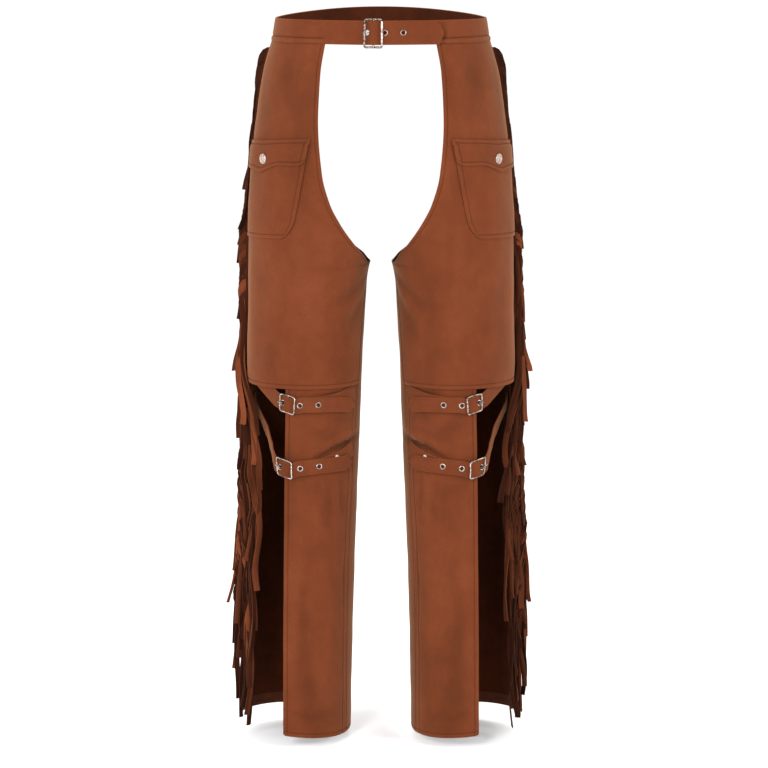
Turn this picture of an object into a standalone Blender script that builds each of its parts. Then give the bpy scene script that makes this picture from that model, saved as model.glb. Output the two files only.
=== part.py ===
"""Fringed leather chaps, hollow and upright as worn: a buckled waistband, two legs open at the seat and down
the outside of the shin, pockets on the thighs, two buckled straps at each knee and a fringe in each side seam.

Metres, +Z up. The front faces -Y and the wearer's left is +X. The origin is the middle of the waistband ring.
Every panel lies on one form of a leg: an ellipse at each height, whose points are named by an angle that
runs from the outer side (0) round the front (90) and the inner side (180) to the back (270).
"""

import math

import bmesh
import bpy
import numpy as np
from mathutils import Matrix, Vector

# ---------------------------------------------------------------- driving sizes

GAP = 0.0003
LAY = 0.0006  # how far a flat-sided layer stands off the one below
LEATHER = 0.0018
POCKET_LEATHER = 0.0015
STRAP_LEATHER = 0.0015

WAIST_HEIGHT = 0.031
WAIST_LEATHER = 0.0020
WAIST_HALF_WIDTH = (0.1390, 0.1442)  # at the band's top and bottom edge
WAIST_HALF_DEPTH = (0.0980, 0.1015)
BACK_RISE = 0.0105
BACK_RISE_FADES = 0.12

THIGH_HEM = -0.467
THIGH_FLARE = 0.0042
CROTCH = -0.307
SIDE_SEAM = -4.0  # degrees, just behind the outer side
SHIN_TOP = -0.449

STRAP_WIDTH = 0.020
EYELET_OUTER = 0.0042
EYELET_HOLE = 0.0024
SNAP_RADIUS = 0.0070
RIVET_RADIUS = 0.0032

RIGHT, LEFT = -1, 1
SIDES = {"r": RIGHT, "l": LEFT}

LEG_FORM = (
    # height, centre out from the middle, half width, half depth
    (-0.0155, 0.0000, 0.1442, 0.1015),
    (-0.050, 0.0113, 0.1432, 0.1025),
    (-0.100, 0.0278, 0.1347, 0.1030),
    (-0.150, 0.0442, 0.1248, 0.1020),
    (-0.200, 0.0606, 0.1109, 0.1000),
    (-0.250, 0.0771, 0.0979, 0.0970),
    (-0.307, 0.0966, 0.0802, 0.0930),
    (-0.400, 0.0995, 0.0770, 0.0880),
    (-0.467, 0.0999, 0.0737, 0.0835),
    (-0.570, 0.1046, 0.0744, 0.0800),
    (-0.700, 0.1098, 0.0746, 0.0800),
    (-0.800, 0.1133, 0.0751, 0.0810),
    (-0.945, 0.1175, 0.0763, 0.0820),
)
FRONT_CUT = (
    # height, edge's distance from the middle
    (-0.0155, 0.0721),
    (-0.054, 0.0786),
    (-0.118, 0.0814),
    (-0.183, 0.0765),
    (-0.222, 0.0662),
    (-0.248, 0.0532),
    (-0.276, 0.0351),
    (-0.292, 0.0235),
    (-0.307, 0.0164),
)
BACK_CUT = (
    # height, edge's distance from the middle
    (-0.0155, 0.0850),
    (-0.054, 0.0925),
    (-0.118, 0.0965),
    (-0.183, 0.0940),
    (-0.222, 0.0870),
    (-0.248, 0.0780),
    (-0.276, 0.0610),
    (-0.292, 0.0440),
    (-0.307, 0.0164),
)
INSEAM = (
    # height, angle
    (-0.307, 180.0),
    (-0.350, 170.0),
    (-0.400, 162.0),
    (-0.467, 156.0),
    (-0.570, 151.0),
    (-0.700, 149.0),
    (-0.945, 153.0),
)
SHIN_EDGE = (
    # height, angle of the free outer edge
    (-0.449, 69.0),
    (-0.570, 72.0),
    (-0.700, 75.0),
    (-0.945, 79.5),
)
HEM_LINE = (
    # angle, height of the ankle hem
    (79.0, -0.9375),
    (153.0, -0.9450),
    (240.0, -0.9350),
    (356.0, -0.9290),
)
FRINGE_REACH = (
    # height, angle behind the seam, angle before it, how far it stands out
    (-0.032, -11.0, -6.0, 0.003),
    (-0.050, -13.0, -5.0, 0.009),
    (-0.120, -15.0, -5.0, 0.012),
    (-0.300, -17.0, -5.0, 0.014),
    (-0.469, -18.0, -5.0, 0.014),
    (-0.492, -18.0, 30.0, 0.012),
    (-0.560, -18.0, 44.0, 0.011),
    (-0.880, -16.0, 46.0, 0.009),
    (-0.945, -6.0, 40.0, 0.007),
)
FLAP_EDGE = (
    # angle, height of the flap's lower edge
    (2.0, -0.1800),
    (22.0, -0.1812),
    (31.0, -0.1838),
    (39.0, -0.1785),
    (49.0, -0.1725),
    (66.5, -0.1722),
)
POCKET_FROM, POCKET_TO = 3.0, 66.0
FLAP_TOP = -0.137
POCKET_TOP = -0.147
POCKET_BOTTOM = -0.2680
POCKET_TILT = 0.008  # its outer side hangs this much lower at the top, half of it at the bottom
SNAP_AT = (33.0, -0.1660)

KNEE_BARS = (66.6, 73.6, 80.6)  # outer bar, centre bar, inner bar
KNEE_WIRE = 0.0011
KNEE_FRAME_HALF_HEIGHT = 0.0114
KNEE_CENTRE_OUT = STRAP_LEATHER + 2 * GAP + KNEE_WIRE
KNEE_BAR_OUT = 0.0075
KNEE_PRONG = 0.0007
KNEE_EYELETS = {"upper": (69.0, 85.6, 103.4), "lower": (69.4, 88.6, 107.0)}
KNEE_TAB_END = (138.0, 146.5)  # where its tip starts and ends
KNEE_TAB_LINE = {
    # angle, height of its middle, twist
    "upper": (
        (-14.0, -0.4530, 0.0),
        (20.0, -0.4580, 0.0),
        (42.0, -0.4675, 0.0),
        (55.0, -0.4770, 0.0),
        (68.0, -0.4867, 0.0),
        (87.0, -0.4877, 0.0),
        (106.0, -0.4880, 0.0),
        (128.0, -0.4900, 0.0),
        (148.5, -0.4940, 0.0),
    ),
    "lower": (
        (-14.0, -0.4960, 0.0),
        (-4.0, -0.5010, 4.0),
        (8.0, -0.5090, 35.0),
        (24.0, -0.5240, 60.0),
        (40.0, -0.5430, 62.0),
        (52.0, -0.5590, 45.0),
        (58.0, -0.5660, 22.0),
        (63.0, -0.5710, 0.0),
        (68.0, -0.5735, 0.0),
        (74.0, -0.5740, 0.0),
        (89.0, -0.5728, 0.0),
        (109.0, -0.5706, 0.0),
        (148.5, -0.5695, 0.0),
    ),
}
KNEE_TAB_AT_BUCKLE = (
    # angle, how far its middle stands off the form
    (65.0, 0.0036),
    (66.6, 0.0041),
    (68.3, 0.0048),
    (70.0, 0.0056),
    (71.8, 0.0064),
    (73.6, 0.00715),
    (75.4, 0.0064),
    (77.2, 0.0056),
    (78.9, 0.0048),
    (80.6, 0.0041),
    (85.0, 0.0039),
    (148.5, 0.0040),
)
KNEE_TAB_OUT = {
    # the same from the back panel to the buckle, where the tab hangs free
    "upper": ((-14.0, -0.0042), (6.0, -0.0040), (30.0, -0.0028), (50.0, -0.0010), (57.0, 0.0006))
    + ((61.0, 0.0022),),
    "lower": ((-14.0, -0.0042), (-4.0, -0.0056), (8.0, -0.0085), (24.0, -0.0095), (40.0, -0.0090))
    + ((52.0, -0.0055), (60.0, -0.0002)),
}
KNEE_STRAP_LINE = {
    # angle, height of its middle
    "upper": ((73.6, -0.4870), (100.0, -0.4868), (120.0, -0.4850), (140.0, -0.4800), (151.0, -0.4775)),
    "lower": ((73.6, -0.5740), (89.0, -0.5726), (110.0, -0.5700), (125.0, -0.5660), (150.5, -0.5530)),
}
RIVET_AT = (127.0, -0.5605)

WAIST_BARS = (81.8, 86.15, 90.5)
WAIST_WIRE = 0.0013
WAIST_FRAME_HALF_HEIGHT = 0.0177
WAIST_CENTRE_OUT = GAP + WAIST_WIRE
WAIST_BAR_OUT = 0.0075
WAIST_PRONG = 0.0009
WAIST_EYELETS = (83.2, 92.0, 101.6)
WAIST_TAB_END = (120.4, 123.6)
WAIST_TAB_OUT = (
    # angle, how far its middle stands off the ring
    (60.0, -0.0010),
    (68.0, -0.0004),
    (76.0, 0.0016),
    (81.8, 0.0036),
    (83.2, 0.0044),
    (84.6, 0.0053),
    (85.6, 0.0061),
    (86.15, 0.0065),
    (86.7, 0.0061),
    (87.7, 0.0053),
    (89.1, 0.0044),
    (90.5, 0.0036),
    (92.0, 0.0031),
    (98.0, 0.0022),
    (123.6, 0.0019),
)

SUEDE = (0.235, 0.072, 0.032)
SUEDE_DARK = (0.110, 0.032, 0.014)
NICKEL = (0.62, 0.58, 0.54)
SNAP_METAL = (0.55, 0.46, 0.42)


# ---------------------------------------------------------------- scene and materials

for leftover in list(bpy.data.objects):
    bpy.data.objects.remove(leftover)

garment = bpy.data.collections.new("chaps")
cutters = bpy.data.collections.new("cutters")
for collection in (garment, cutters):
    bpy.context.scene.collection.children.link(collection)


def material(name, colour, roughness, metallic=0.0):
    made = bpy.data.materials.new(name)
    made.use_nodes = True
    shader = made.node_tree.nodes["Principled BSDF"]
    shader.inputs["Base Color"].default_value = (*colour, 1.0)
    shader.inputs["Roughness"].default_value = roughness
    shader.inputs["Metallic"].default_value = metallic
    return made


LOOKS = {
    "suede": (SUEDE, 0.9, 0.0),
    "fringe": (SUEDE_DARK, 0.9, 0.0),
    "nickel": (NICKEL, 0.3, 1.0),
    "snap": (SNAP_METAL, 0.45, 1.0),
}


def add_piece(name, mesh, look):
    """Puts a mesh in the garment as one named piece with a material of its own."""
    piece = bpy.data.objects.new(name, mesh)
    mesh.materials.clear()
    mesh.materials.append(material(name, *LOOKS[look]))
    garment.objects.link(piece)
    return piece


def add_cutter(name, mesh):
    cutter = bpy.data.objects.new(name, mesh)
    cutter.hide_render = True
    cutter.display_type = "WIRE"
    cutters.objects.link(cutter)
    return cutter


# ---------------------------------------------------------------- the form that the panels lie on


def smooth_column(table, column=1):
    """A smooth curve through one column of a table against its first column, with no overshoot."""
    rows = sorted(table)
    at = np.array([row[0] for row in rows])
    values = np.array([row[column] for row in rows])
    rises = np.diff(values) / np.diff(at)
    before, after = np.append(rises[0], rises), np.append(rises, rises[-1])
    turns = before * after <= 0
    slopes = np.where(turns, 0.0, 2 * before * after / np.where(turns, 1.0, before + after))

    def value(x):
        i = int(np.clip(np.searchsorted(at, x) - 1, 0, len(at) - 2))
        span = at[i + 1] - at[i]
        s = min(max((x - at[i]) / span, 0.0), 1.0)
        start = (1 + 2 * s) * (1 - s) ** 2 * values[i] + s * (1 - s) ** 2 * span * slopes[i]
        end = s * s * (3 - 2 * s) * values[i + 1] + s * s * (s - 1) * span * slopes[i + 1]
        return float(start + end)

    return value


form_centre = smooth_column(LEG_FORM, 1)
form_half_width = smooth_column(LEG_FORM, 2)
form_half_depth = smooth_column(LEG_FORM, 3)
front_cut = smooth_column(FRONT_CUT)
back_cut = smooth_column(BACK_CUT)
inseam = smooth_column(INSEAM)
shin_edge = smooth_column(SHIN_EDGE)
flap_edge = smooth_column(FLAP_EDGE)


def on_ellipse(side, centre, half_width, half_depth, height, angle, out):
    """A point of an ellipse at a height, moved out along the ellipse's normal."""
    turn = math.radians(angle)
    normal = Vector((math.cos(turn) / half_width, -math.sin(turn) / half_depth, 0.0)).normalized()
    x = centre + half_width * math.cos(turn) + out * normal.x
    y = -half_depth * math.sin(turn) + out * normal.y
    behind = max(y / half_depth, 0.0)
    fade = min(max(1 + height / BACK_RISE_FADES, 0.0), 1.0)
    return Vector((side * x, y, height + BACK_RISE * behind**2 * fade))


def on_leg(side, height, angle, out=0.0):
    section = form_centre(height), form_half_width(height), form_half_depth(height)
    return on_ellipse(side, *section, height, angle, out)


def on_waist(height, angle, out=0.0):
    """A point of the waistband ring: angle 0 is the wearer's right side, 90 the front, 180 the left side."""
    share = 0.5 - height / WAIST_HEIGHT
    half_width = WAIST_HALF_WIDTH[0] + share * (WAIST_HALF_WIDTH[1] - WAIST_HALF_WIDTH[0])
    half_depth = WAIST_HALF_DEPTH[0] + share * (WAIST_HALF_DEPTH[1] - WAIST_HALF_DEPTH[0])
    return on_ellipse(RIGHT, 0.0, half_width, half_depth, height, angle, out)


def edge_angle(height, distance):
    """The angle on the front half of the form where it is this far from the middle."""
    cosine = (distance - form_centre(height)) / form_half_width(height)
    return math.degrees(math.acos(min(max(cosine, -1.0), 1.0)))


def seam_gap(height):
    """Half the gap at a seam, in degrees."""
    return math.degrees(0.6 * GAP / form_half_width(height))


# ---------------------------------------------------------------- tools for walls, tubes and turned pieces


def face_outwards(bm):
    """Turns a closed mesh's faces to point out of it."""
    bmesh.ops.recalc_face_normals(bm, faces=bm.faces)
    if bm.calc_volume(signed=True) < 0:
        bmesh.ops.reverse_faces(bm, faces=bm.faces)


def wall_mesh(name, outer, inner, missing=()):
    """A closed wall between two grids of points with the same rows and columns, less its missing cells."""
    rows, columns = len(outer), len(outer[0])
    bm = bmesh.new()
    layers = [[[bm.verts.new(point) for point in row] for row in grid] for grid in (outer, inner)]
    rim = {}
    for i in range(rows - 1):
        for j in range(columns - 1):
            if (i, j) in missing:
                continue
            corners = [(i, j), (i, j + 1), (i + 1, j + 1), (i + 1, j)]
            for layer in layers:
                bm.faces.new([layer[k][m] for k, m in corners])
            for ends in zip(corners, corners[1:] + corners[:1]):
                rim.setdefault(frozenset(ends), []).append(ends)
    for shared in rim.values():
        if len(shared) == 1:
            (i, j), (k, m) = shared[0]
            bm.faces.new((layers[0][i][j], layers[1][i][j], layers[1][k][m], layers[0][k][m]))
    mesh = bpy.data.meshes.new(name)
    face_outwards(bm)
    bm.to_mesh(mesh)
    bm.free()
    return mesh


def panel(name, side, heights, angles_at, columns, hem=None, out=None, leather=LEATHER, look="suede"):
    """A panel on the leg form: a row for each height, between the two angles that angles_at gives there.

    hem(angle) gives the height of the last row, and out(height, angle) how far the panel stands off the form.
    """
    outer, inner = [], []
    for height in heights:
        first, last = angles_at(height)
        rows = ([], [])
        for angle in np.linspace(first, last, columns):
            stand = out(height, angle) if out else 0.0
            level = hem(angle) if hem and height == heights[-1] else height
            rows[0].append(on_leg(side, level, angle, stand))
            rows[1].append(on_leg(side, level, angle, stand - leather))
        outer.append(rows[0])
        inner.append(rows[1])
    return add_piece(name, wall_mesh(name, outer, inner), look)


def curve_to_mesh(name, points, radius, cyclic=False):
    """A round wire through the points, as a closed mesh."""
    curve = bpy.data.curves.new(name, "CURVE")
    curve.dimensions = "3D"
    curve.bevel_depth = radius
    curve.bevel_resolution = 1
    curve.use_fill_caps = True
    spline = curve.splines.new("POLY")
    spline.points.add(len(points) - 1)
    for spot, point in zip(spline.points, points):
        spot.co = (*point, 1.0)
    spline.use_cyclic_u = cyclic
    wire = bpy.data.objects.new(name, curve)
    bpy.context.scene.collection.objects.link(wire)
    bpy.context.view_layer.update()
    mesh = bpy.data.meshes.new_from_object(wire.evaluated_get(bpy.context.evaluated_depsgraph_get()))
    bpy.data.objects.remove(wire)
    bm = bmesh.new()
    bm.from_mesh(mesh)
    bmesh.ops.remove_doubles(bm, verts=bm.verts, dist=1e-6)
    face_outwards(bm)
    bm.to_mesh(mesh)
    bm.free()
    return mesh


def turned_piece(name, profile, place, look, steps):
    """A piece turned from (radius, height) points about its own axis, put where the matrix says."""
    mesh = bpy.data.meshes.new(name)
    points = [(radius, 0.0, height) for radius, height in profile]
    closed_ring = profile[0][0] > 0
    count = len(points)
    edges = [(i, (i + 1) % count) for i in range(count if closed_ring else count - 1)]
    mesh.from_pydata(points, edges, [])
    piece = add_piece(name, mesh, look)
    screw = piece.modifiers.new("turn", "SCREW")
    screw.axis = "Z"
    screw.steps = steps
    screw.render_steps = steps
    screw.use_merge_vertices = True
    screw.merge_threshold = 1e-5
    piece.matrix_world = place
    return piece


def placed_on(point_at, line, angle):
    """A matrix on a line of (height, out) by angle, with Z square to the line and pointing outwards."""
    here = point_at(line(angle)[0], angle, line(angle)[1])
    reach = 1.0
    ends = [point_at(line(angle + turn)[0], angle + turn, line(angle + turn)[1]) for turn in (reach, -reach)]
    along = (ends[0] - ends[1]).normalized()
    outward = point_at(line(angle)[0], angle, line(angle)[1] + 0.01) - here
    across = outward.cross(along).normalized()
    normal = along.cross(across)
    return Matrix.Translation(here) @ Matrix((along, across, normal)).transposed().to_4x4()


def cut_holes(piece, places, radius, depth, solver="EXACT"):
    """Cuts a round hole through a strap at each place."""
    for number, place in enumerate(places, 1):
        bm = bmesh.new()
        bmesh.ops.create_cone(
            bm, cap_ends=True, segments=10, radius1=radius, radius2=radius, depth=depth, matrix=place
        )
        mesh = bpy.data.meshes.new(f"{piece.name}_hole_{number}")
        bm.to_mesh(mesh)
        bm.free()
        hole = piece.modifiers.new(f"hole {number}", "BOOLEAN")
        hole.operation = "DIFFERENCE"
        hole.solver = solver
        hole.object = add_cutter(mesh.name, mesh)


def add_eyelet(name, place, strap_leather):
    """A pressed ring round a hole: a flat flange on the strap and a short barrel down the hole."""
    face = strap_leather / 2 + 2 * GAP
    profile = (
        (EYELET_HOLE, face + 0.0006),
        (EYELET_HOLE + 0.0008, face + 0.0009),
        (EYELET_OUTER, face),
        (EYELET_HOLE + 0.0003, face),
        (EYELET_HOLE + 0.0003, -strap_leather / 2),
        (EYELET_HOLE, -strap_leather / 2),
    )
    return turned_piece(name, profile, place, "nickel", 10)


def strap_mesh(name, point_at, stations, leather, width, notch=0.0, notch_stations=0):
    """A strap from stations of (angle, height, out, twist, share of its width).

    A notch as wide as given runs from the first end past that many stations, for a prong's eye to turn in.
    """
    edges = (0.5, notch / width / 2, -notch / width / 2, -0.5) if notch else (0.5, -0.5)
    middles = []
    for angle, height, out, twist, share in stations:
        tilt = math.radians(twist)
        ups = [edge * width * share for edge in edges]
        middles.append([point_at(height + up * math.cos(tilt), angle, out + up * math.sin(tilt)) for up in ups])
    angle, height, out = stations[-1][:3]
    outwards = point_at(height, angle, out + leather) - point_at(height, angle, out)
    outer, inner = [], []
    for i, row in enumerate(middles):
        before, after = middles[max(i - 1, 0)], middles[min(i + 1, len(middles) - 1)]
        across = row[0] - row[-1]
        normals = [(ahead - behind).cross(across).normalized() for behind, ahead in zip(before, after)]
        outer.append([point + normal * leather / 2 for point, normal in zip(row, normals)])
        inner.append([point - normal * leather / 2 for point, normal in zip(row, normals)])
    if (outer[-1][0] - inner[-1][0]).dot(outwards) < 0:
        outer, inner = inner, outer
    return wall_mesh(name, outer, inner, {(i, 1) for i in range(notch_stations)})


FOLD_STATIONS = 8


def loop_stations(centre_angle, centre_out, radius, degree, height, turn_from, turn_to, steps):
    """Stations of a strap that is folded round a buckle's centre bar. degree is one degree's length."""
    for turn in np.linspace(turn_from, turn_to, steps):
        swing = math.radians(turn)
        yield (
            centre_angle + radius * math.sin(swing) / degree,
            height,
            centre_out - radius * math.cos(swing),
        )


# ---------------------------------------------------------------- leg panels


def thigh_front_angles(height):
    gap = seam_gap(height)
    last = edge_angle(height, front_cut(height)) if height > CROTCH else inseam(height)
    return SIDE_SEAM + gap, last - gap


def back_leg_angles(height):
    gap = seam_gap(height)
    first = 360 - edge_angle(height, back_cut(height)) if height > CROTCH else inseam(height)
    return first + gap, 360 + SIDE_SEAM - gap


def shin_front_angles(height):
    return shin_edge(height), inseam(height) - seam_gap(height)


def thigh_flare(height, angle):
    """The thigh's hem hangs free of the shin panel that is tucked under it."""
    return THIGH_FLARE * min(max((height + 0.37) / (SHIN_TOP + 0.005 + 0.37), 0.0), 1.0)


hem_line = smooth_column(HEM_LINE)
TOP = -WAIST_HEIGHT / 2 - GAP
UPPER_ROWS = [TOP, -0.05, -0.10, -0.15, -0.19, -0.222, -0.248, -0.272, -0.292, CROTCH, -0.345]
THIGH_ROWS = UPPER_ROWS + [-0.39, -0.42, SHIN_TOP + 0.005, THIGH_HEM]
BACK_ROWS = UPPER_ROWS + [-0.40, -0.467, -0.53, -0.60, -0.68, -0.76, -0.84, -0.90, -0.93]
SHIN_ROWS = [SHIN_TOP, -0.50, -0.57, -0.66, -0.75, -0.84, -0.90, -0.94]

for tag, side in SIDES.items():
    panel(f"thigh_front_{tag}", side, THIGH_ROWS, thigh_front_angles, 11, out=thigh_flare)
    panel(f"back_leg_{tag}", side, BACK_ROWS, back_leg_angles, 17, hem=hem_line)
    panel(f"shin_front_{tag}", side, SHIN_ROWS, shin_front_angles, 7, hem=hem_line)


# ---------------------------------------------------------------- pockets, flaps and snaps


def tilted(height, angle):
    """A pocket's outer side hangs lower than its front side."""
    low = 1 - (angle - POCKET_FROM) / (POCKET_TO - POCKET_FROM)
    down = (height - POCKET_BOTTOM) / (POCKET_TOP - POCKET_BOTTOM)
    return height - POCKET_TILT * low * (0.5 + 0.5 * down)


def pocket_point(side, height, angle, out):
    return on_leg(side, tilted(height, angle), angle, out)


def pocket_grid(side, out):
    """The pocket's rows, with its lower front corner rounded off."""
    grid = []
    for height in (POCKET_TOP, -0.17, -0.20, -0.23, -0.252, -0.262, POCKET_BOTTOM):
        rounding = max((-0.240 - height) / 0.028, 0.0)
        flare = 2.5 * (POCKET_TOP - height) / (POCKET_TOP - POCKET_BOTTOM)
        last = POCKET_TO + flare - 9.0 * (1 - math.sqrt(max(1 - rounding**2, 0.0)))
        grid.append([pocket_point(side, height, angle, out) for angle in np.linspace(POCKET_FROM, last, 12)])
    return grid


def flap_grid(side, away):
    """The flap's rows: sewn down along its top, over the pocket below that, with a pointed lower edge."""
    grid = []
    for share in (0.0, 0.16, 0.34, 0.70, 1.0):
        row = []
        for angle in np.linspace(POCKET_FROM - 1.0, POCKET_TO + 0.5, 14):
            top = tilted(FLAP_TOP, angle)
            stand = (LAY if share == 0 else POCKET_LEATHER + 2 * LAY) + away
            row.append(on_leg(side, top + share * (flap_edge(angle) - top), angle, stand))
        grid.append(row)
    return grid


def snap_profile():
    """A low domed cap with a rolled rim, from its top down."""
    return (
        (0.0, 0.0019),
        (SNAP_RADIUS * 0.6, 0.0017),
        (SNAP_RADIUS - 0.0008, 0.0013),
        (SNAP_RADIUS, 0.0007),
        (SNAP_RADIUS, 0.0),
        (0.0, 0.0),
    )


for tag, side in SIDES.items():
    pocket_faces = [pocket_grid(side, LAY + POCKET_LEATHER), pocket_grid(side, LAY)]
    add_piece(f"pocket_{tag}", wall_mesh(f"pocket_{tag}", *pocket_faces), "suede")
    flap_faces = [flap_grid(side, POCKET_LEATHER), flap_grid(side, 0.0)]
    add_piece(f"pocket_flap_{tag}", wall_mesh(f"pocket_flap_{tag}", *flap_faces), "suede")

    def on_this_leg(height, angle, out, side=side):
        return on_leg(side, height, angle, out)

    def snap_line(angle):
        return SNAP_AT[1], 2 * (POCKET_LEATHER + LAY) + 2 * GAP

    place = placed_on(on_this_leg, snap_line, SNAP_AT[0])
    turned_piece(f"snap_{tag}", snap_profile(), place, "snap", 12)


# ---------------------------------------------------------------- buckles


def buckle(name, point_at, bars, height_at, half_height, wire, centre_out, bar_out):
    """A centre-bar buckle: a bowed wire frame whose two outer bars stand above its centre bar."""
    first, middle, last = bars
    inset = 0.25 * (middle - first)
    corner = 0.0022

    def at(angle, up):
        bow = ((angle - middle) / (last - middle)) ** 2
        return point_at(height_at(angle) + up, angle, centre_out + (bar_out - centre_out) * bow)

    rail = (first, first + inset, middle, last - inset, last)
    loop = []
    for up, angles in ((half_height, rail), (-half_height, rail[::-1])):
        inward = -math.copysign(corner, up)
        loop.append(at(angles[0], up + inward))
        loop += [at(angle, up) for angle in angles[1:-1]]
        loop.append(at(angles[-1], up + inward))
    frame = add_piece(name, curve_to_mesh(name, loop, wire, cyclic=True), "nickel")
    bar = [point_at(height_at(middle) + up, middle, centre_out) for up in (half_height, -half_height)]
    join = frame.modifiers.new("centre bar", "BOOLEAN")
    join.operation = "UNION"
    join.object = add_cutter(f"{name}_bar", curve_to_mesh(f"{name}_bar", bar, wire * 0.9))
    return frame


def prong(name, point_at, bars, height_at, degree, wire, centre_out, bar_out, hole, tab, leather, thick):
    """A prong: an eye round the centre bar, then a finger up through the tab's hole, over the outer bar.

    tab(angle) is how far the tab's middle stands out, which the finger runs under as far as the hole.
    """
    first, middle, _ = bars
    eye = wire + GAP + thick
    path = []
    for turn in (-120, -160, 160, 110, 60, 15):
        swing = math.radians(turn)
        path.append((middle + eye * math.sin(swing) / degree, centre_out + eye * math.cos(swing)))
    for angle in (middle - 0.0028 / degree, hole + 0.0019 / degree):
        path.append((angle, tab(angle) - leather / 2 - thick - 2 * GAP))
    top = bar_out + wire + GAP + thick
    path.append((hole - 0.0009 / degree, top - 0.0010))
    path.append((first + 0.0010 / degree, top))
    path.append((first - 0.0018 / degree, top - 0.0002))
    points = [point_at(height_at(angle), angle, out) for angle, out in path]
    return add_piece(name, curve_to_mesh(name, points, thick), "nickel")


# ---------------------------------------------------------------- waistband

waist_tab_out = smooth_column(WAIST_TAB_OUT)
WAIST_DEGREE = math.radians(1) * WAIST_HALF_WIDTH[1]
WAIST_FOLD = WAIST_WIRE + GAP + WAIST_LEATHER / 2
WAIST_NOTCH_END = WAIST_BARS[1] + (WAIST_FOLD + WAIST_LEATHER / 2 + 0.0006) / WAIST_DEGREE


def waistband_stations():
    """From the fold round the centre bar, round the back, to the tab's tip over the front."""
    fold = loop_stations(WAIST_BARS[1], WAIST_CENTRE_OUT, WAIST_FOLD, WAIST_DEGREE, 0.0, -200.0, 0.0, FOLD_STATIONS)
    for angle, height, out in fold:
        yield angle, height, out, 0.0, 1.0
    for angle in (WAIST_NOTCH_END, 92, 97, 104, 112, 120, 128, 137, 146, 155, 164, 173):
        yield angle, 0.0, -WAIST_LEATHER / 2, 0.0, 1.0
    for angle in range(181, 420, 9):
        yield angle, 0.0, -WAIST_LEATHER / 2, 0.0, 1.0
    for angle in (64, 68, 72, 76, 80, 81.8, 83.2, 84.6, 85.6, 86.15, 86.7, 87.7, 89.1, 90.5, 92, 95, 98):
        yield 360 + angle, 0.0, waist_tab_out(angle), 0.0, 1.0
    for angle in (101.6, 108, 114, WAIST_TAB_END[0]):
        yield 360 + angle, 0.0, waist_tab_out(angle), 0.0, 1.0
    yield 360 + WAIST_TAB_END[1], 0.0, waist_tab_out(WAIST_TAB_END[1]), 0.0, 0.12


def waist_level(angle):
    return 0.0


def waist_tab_line(angle):
    return 0.0, waist_tab_out(angle)


band = add_piece(
    "waistband",
    strap_mesh(
        "waistband",
        on_waist,
        list(waistband_stations()),
        WAIST_LEATHER,
        WAIST_HEIGHT,
        2 * WAIST_PRONG + 3 * GAP,
        FOLD_STATIONS,
    ),
    "suede",
)
eyelet_places = [placed_on(on_waist, waist_tab_line, angle) for angle in WAIST_EYELETS]
cut_holes(band, eyelet_places, EYELET_HOLE + 2 * GAP, WAIST_LEATHER + 0.001, "MANIFOLD")
for number, place in enumerate(eyelet_places, 1):
    add_eyelet(f"waist_eyelet_{number}", place, WAIST_LEATHER)
waist_buckle = (WAIST_WIRE, WAIST_CENTRE_OUT, WAIST_BAR_OUT)
buckle("waist_buckle", on_waist, WAIST_BARS, waist_level, WAIST_FRAME_HALF_HEIGHT, *waist_buckle)
prong(
    "waist_prong",
    on_waist,
    WAIST_BARS,
    waist_level,
    WAIST_DEGREE,
    *waist_buckle,
    WAIST_EYELETS[0],
    waist_tab_out,
    WAIST_LEATHER,
    WAIST_PRONG,
)


# ---------------------------------------------------------------- knee straps

KNEE_DEGREE = math.radians(1) * 0.0775
KNEE_FOLD = KNEE_WIRE + GAP + STRAP_LEATHER / 2
KNEE_TAB_STATIONS = (-14, -6, 2, 10, 18, 26, 34, 42, 48, 53, 58, 63, 65, 66.6, 68.3, 70, 71.8, 72.8, 73.6)
KNEE_TAB_STATIONS += (74.4, 75.4, 77.2, 78.9, 80.6, 83, 85.5, 89, 96, 102, 105, 108, 118, 129, 138)


def knee_tab(name, point_at, which):
    """The tab from the back panel's edge, through the buckle, to its pointed tip. Returns its line too."""
    height_at = smooth_column(KNEE_TAB_LINE[which], 1)
    twist_at = smooth_column(KNEE_TAB_LINE[which], 2)
    out_at = smooth_column(KNEE_TAB_OUT[which] + KNEE_TAB_AT_BUCKLE)
    stations = [(angle, height_at(angle), out_at(angle), twist_at(angle), 1.0) for angle in KNEE_TAB_STATIONS]
    tip = KNEE_TAB_END[1]
    stations.append((tip, height_at(tip), out_at(tip), 0.0, 0.12))
    tab = add_piece(name, strap_mesh(name, point_at, stations, STRAP_LEATHER, STRAP_WIDTH), "suede")
    return tab, height_at, out_at


def knee_strap(name, point_at, which):
    """The strap from the inseam to the fold round the buckle's centre bar."""
    height_at = smooth_column(KNEE_STRAP_LINE[which])
    middle = KNEE_BARS[1]
    stations = []
    turns = (-200.0, 0.0, FOLD_STATIONS)
    for angle, height, out in loop_stations(
        middle, KNEE_CENTRE_OUT, KNEE_FOLD, KNEE_DEGREE, height_at(middle), *turns
    ):
        stations.append((angle, height, out, 0.0, 1.0))
    notch_end = middle + (KNEE_FOLD + STRAP_LEATHER / 2 + 0.0006) / KNEE_DEGREE
    for angle in np.linspace(notch_end, KNEE_STRAP_LINE[which][-1][0], 12):
        stations.append((angle, height_at(angle), STRAP_LEATHER / 2 + GAP, 0.0, 1.0))
    notch = (2 * KNEE_PRONG + 3 * GAP, FOLD_STATIONS)
    return add_piece(name, strap_mesh(name, point_at, stations, STRAP_LEATHER, STRAP_WIDTH, *notch), "suede")


def rivet_profile():
    """A flat-topped cap, from its top down."""
    return ((0.0, 0.0008), (RIVET_RADIUS * 0.8, 0.0006), (RIVET_RADIUS, 0.0), (0.0, 0.0))


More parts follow.
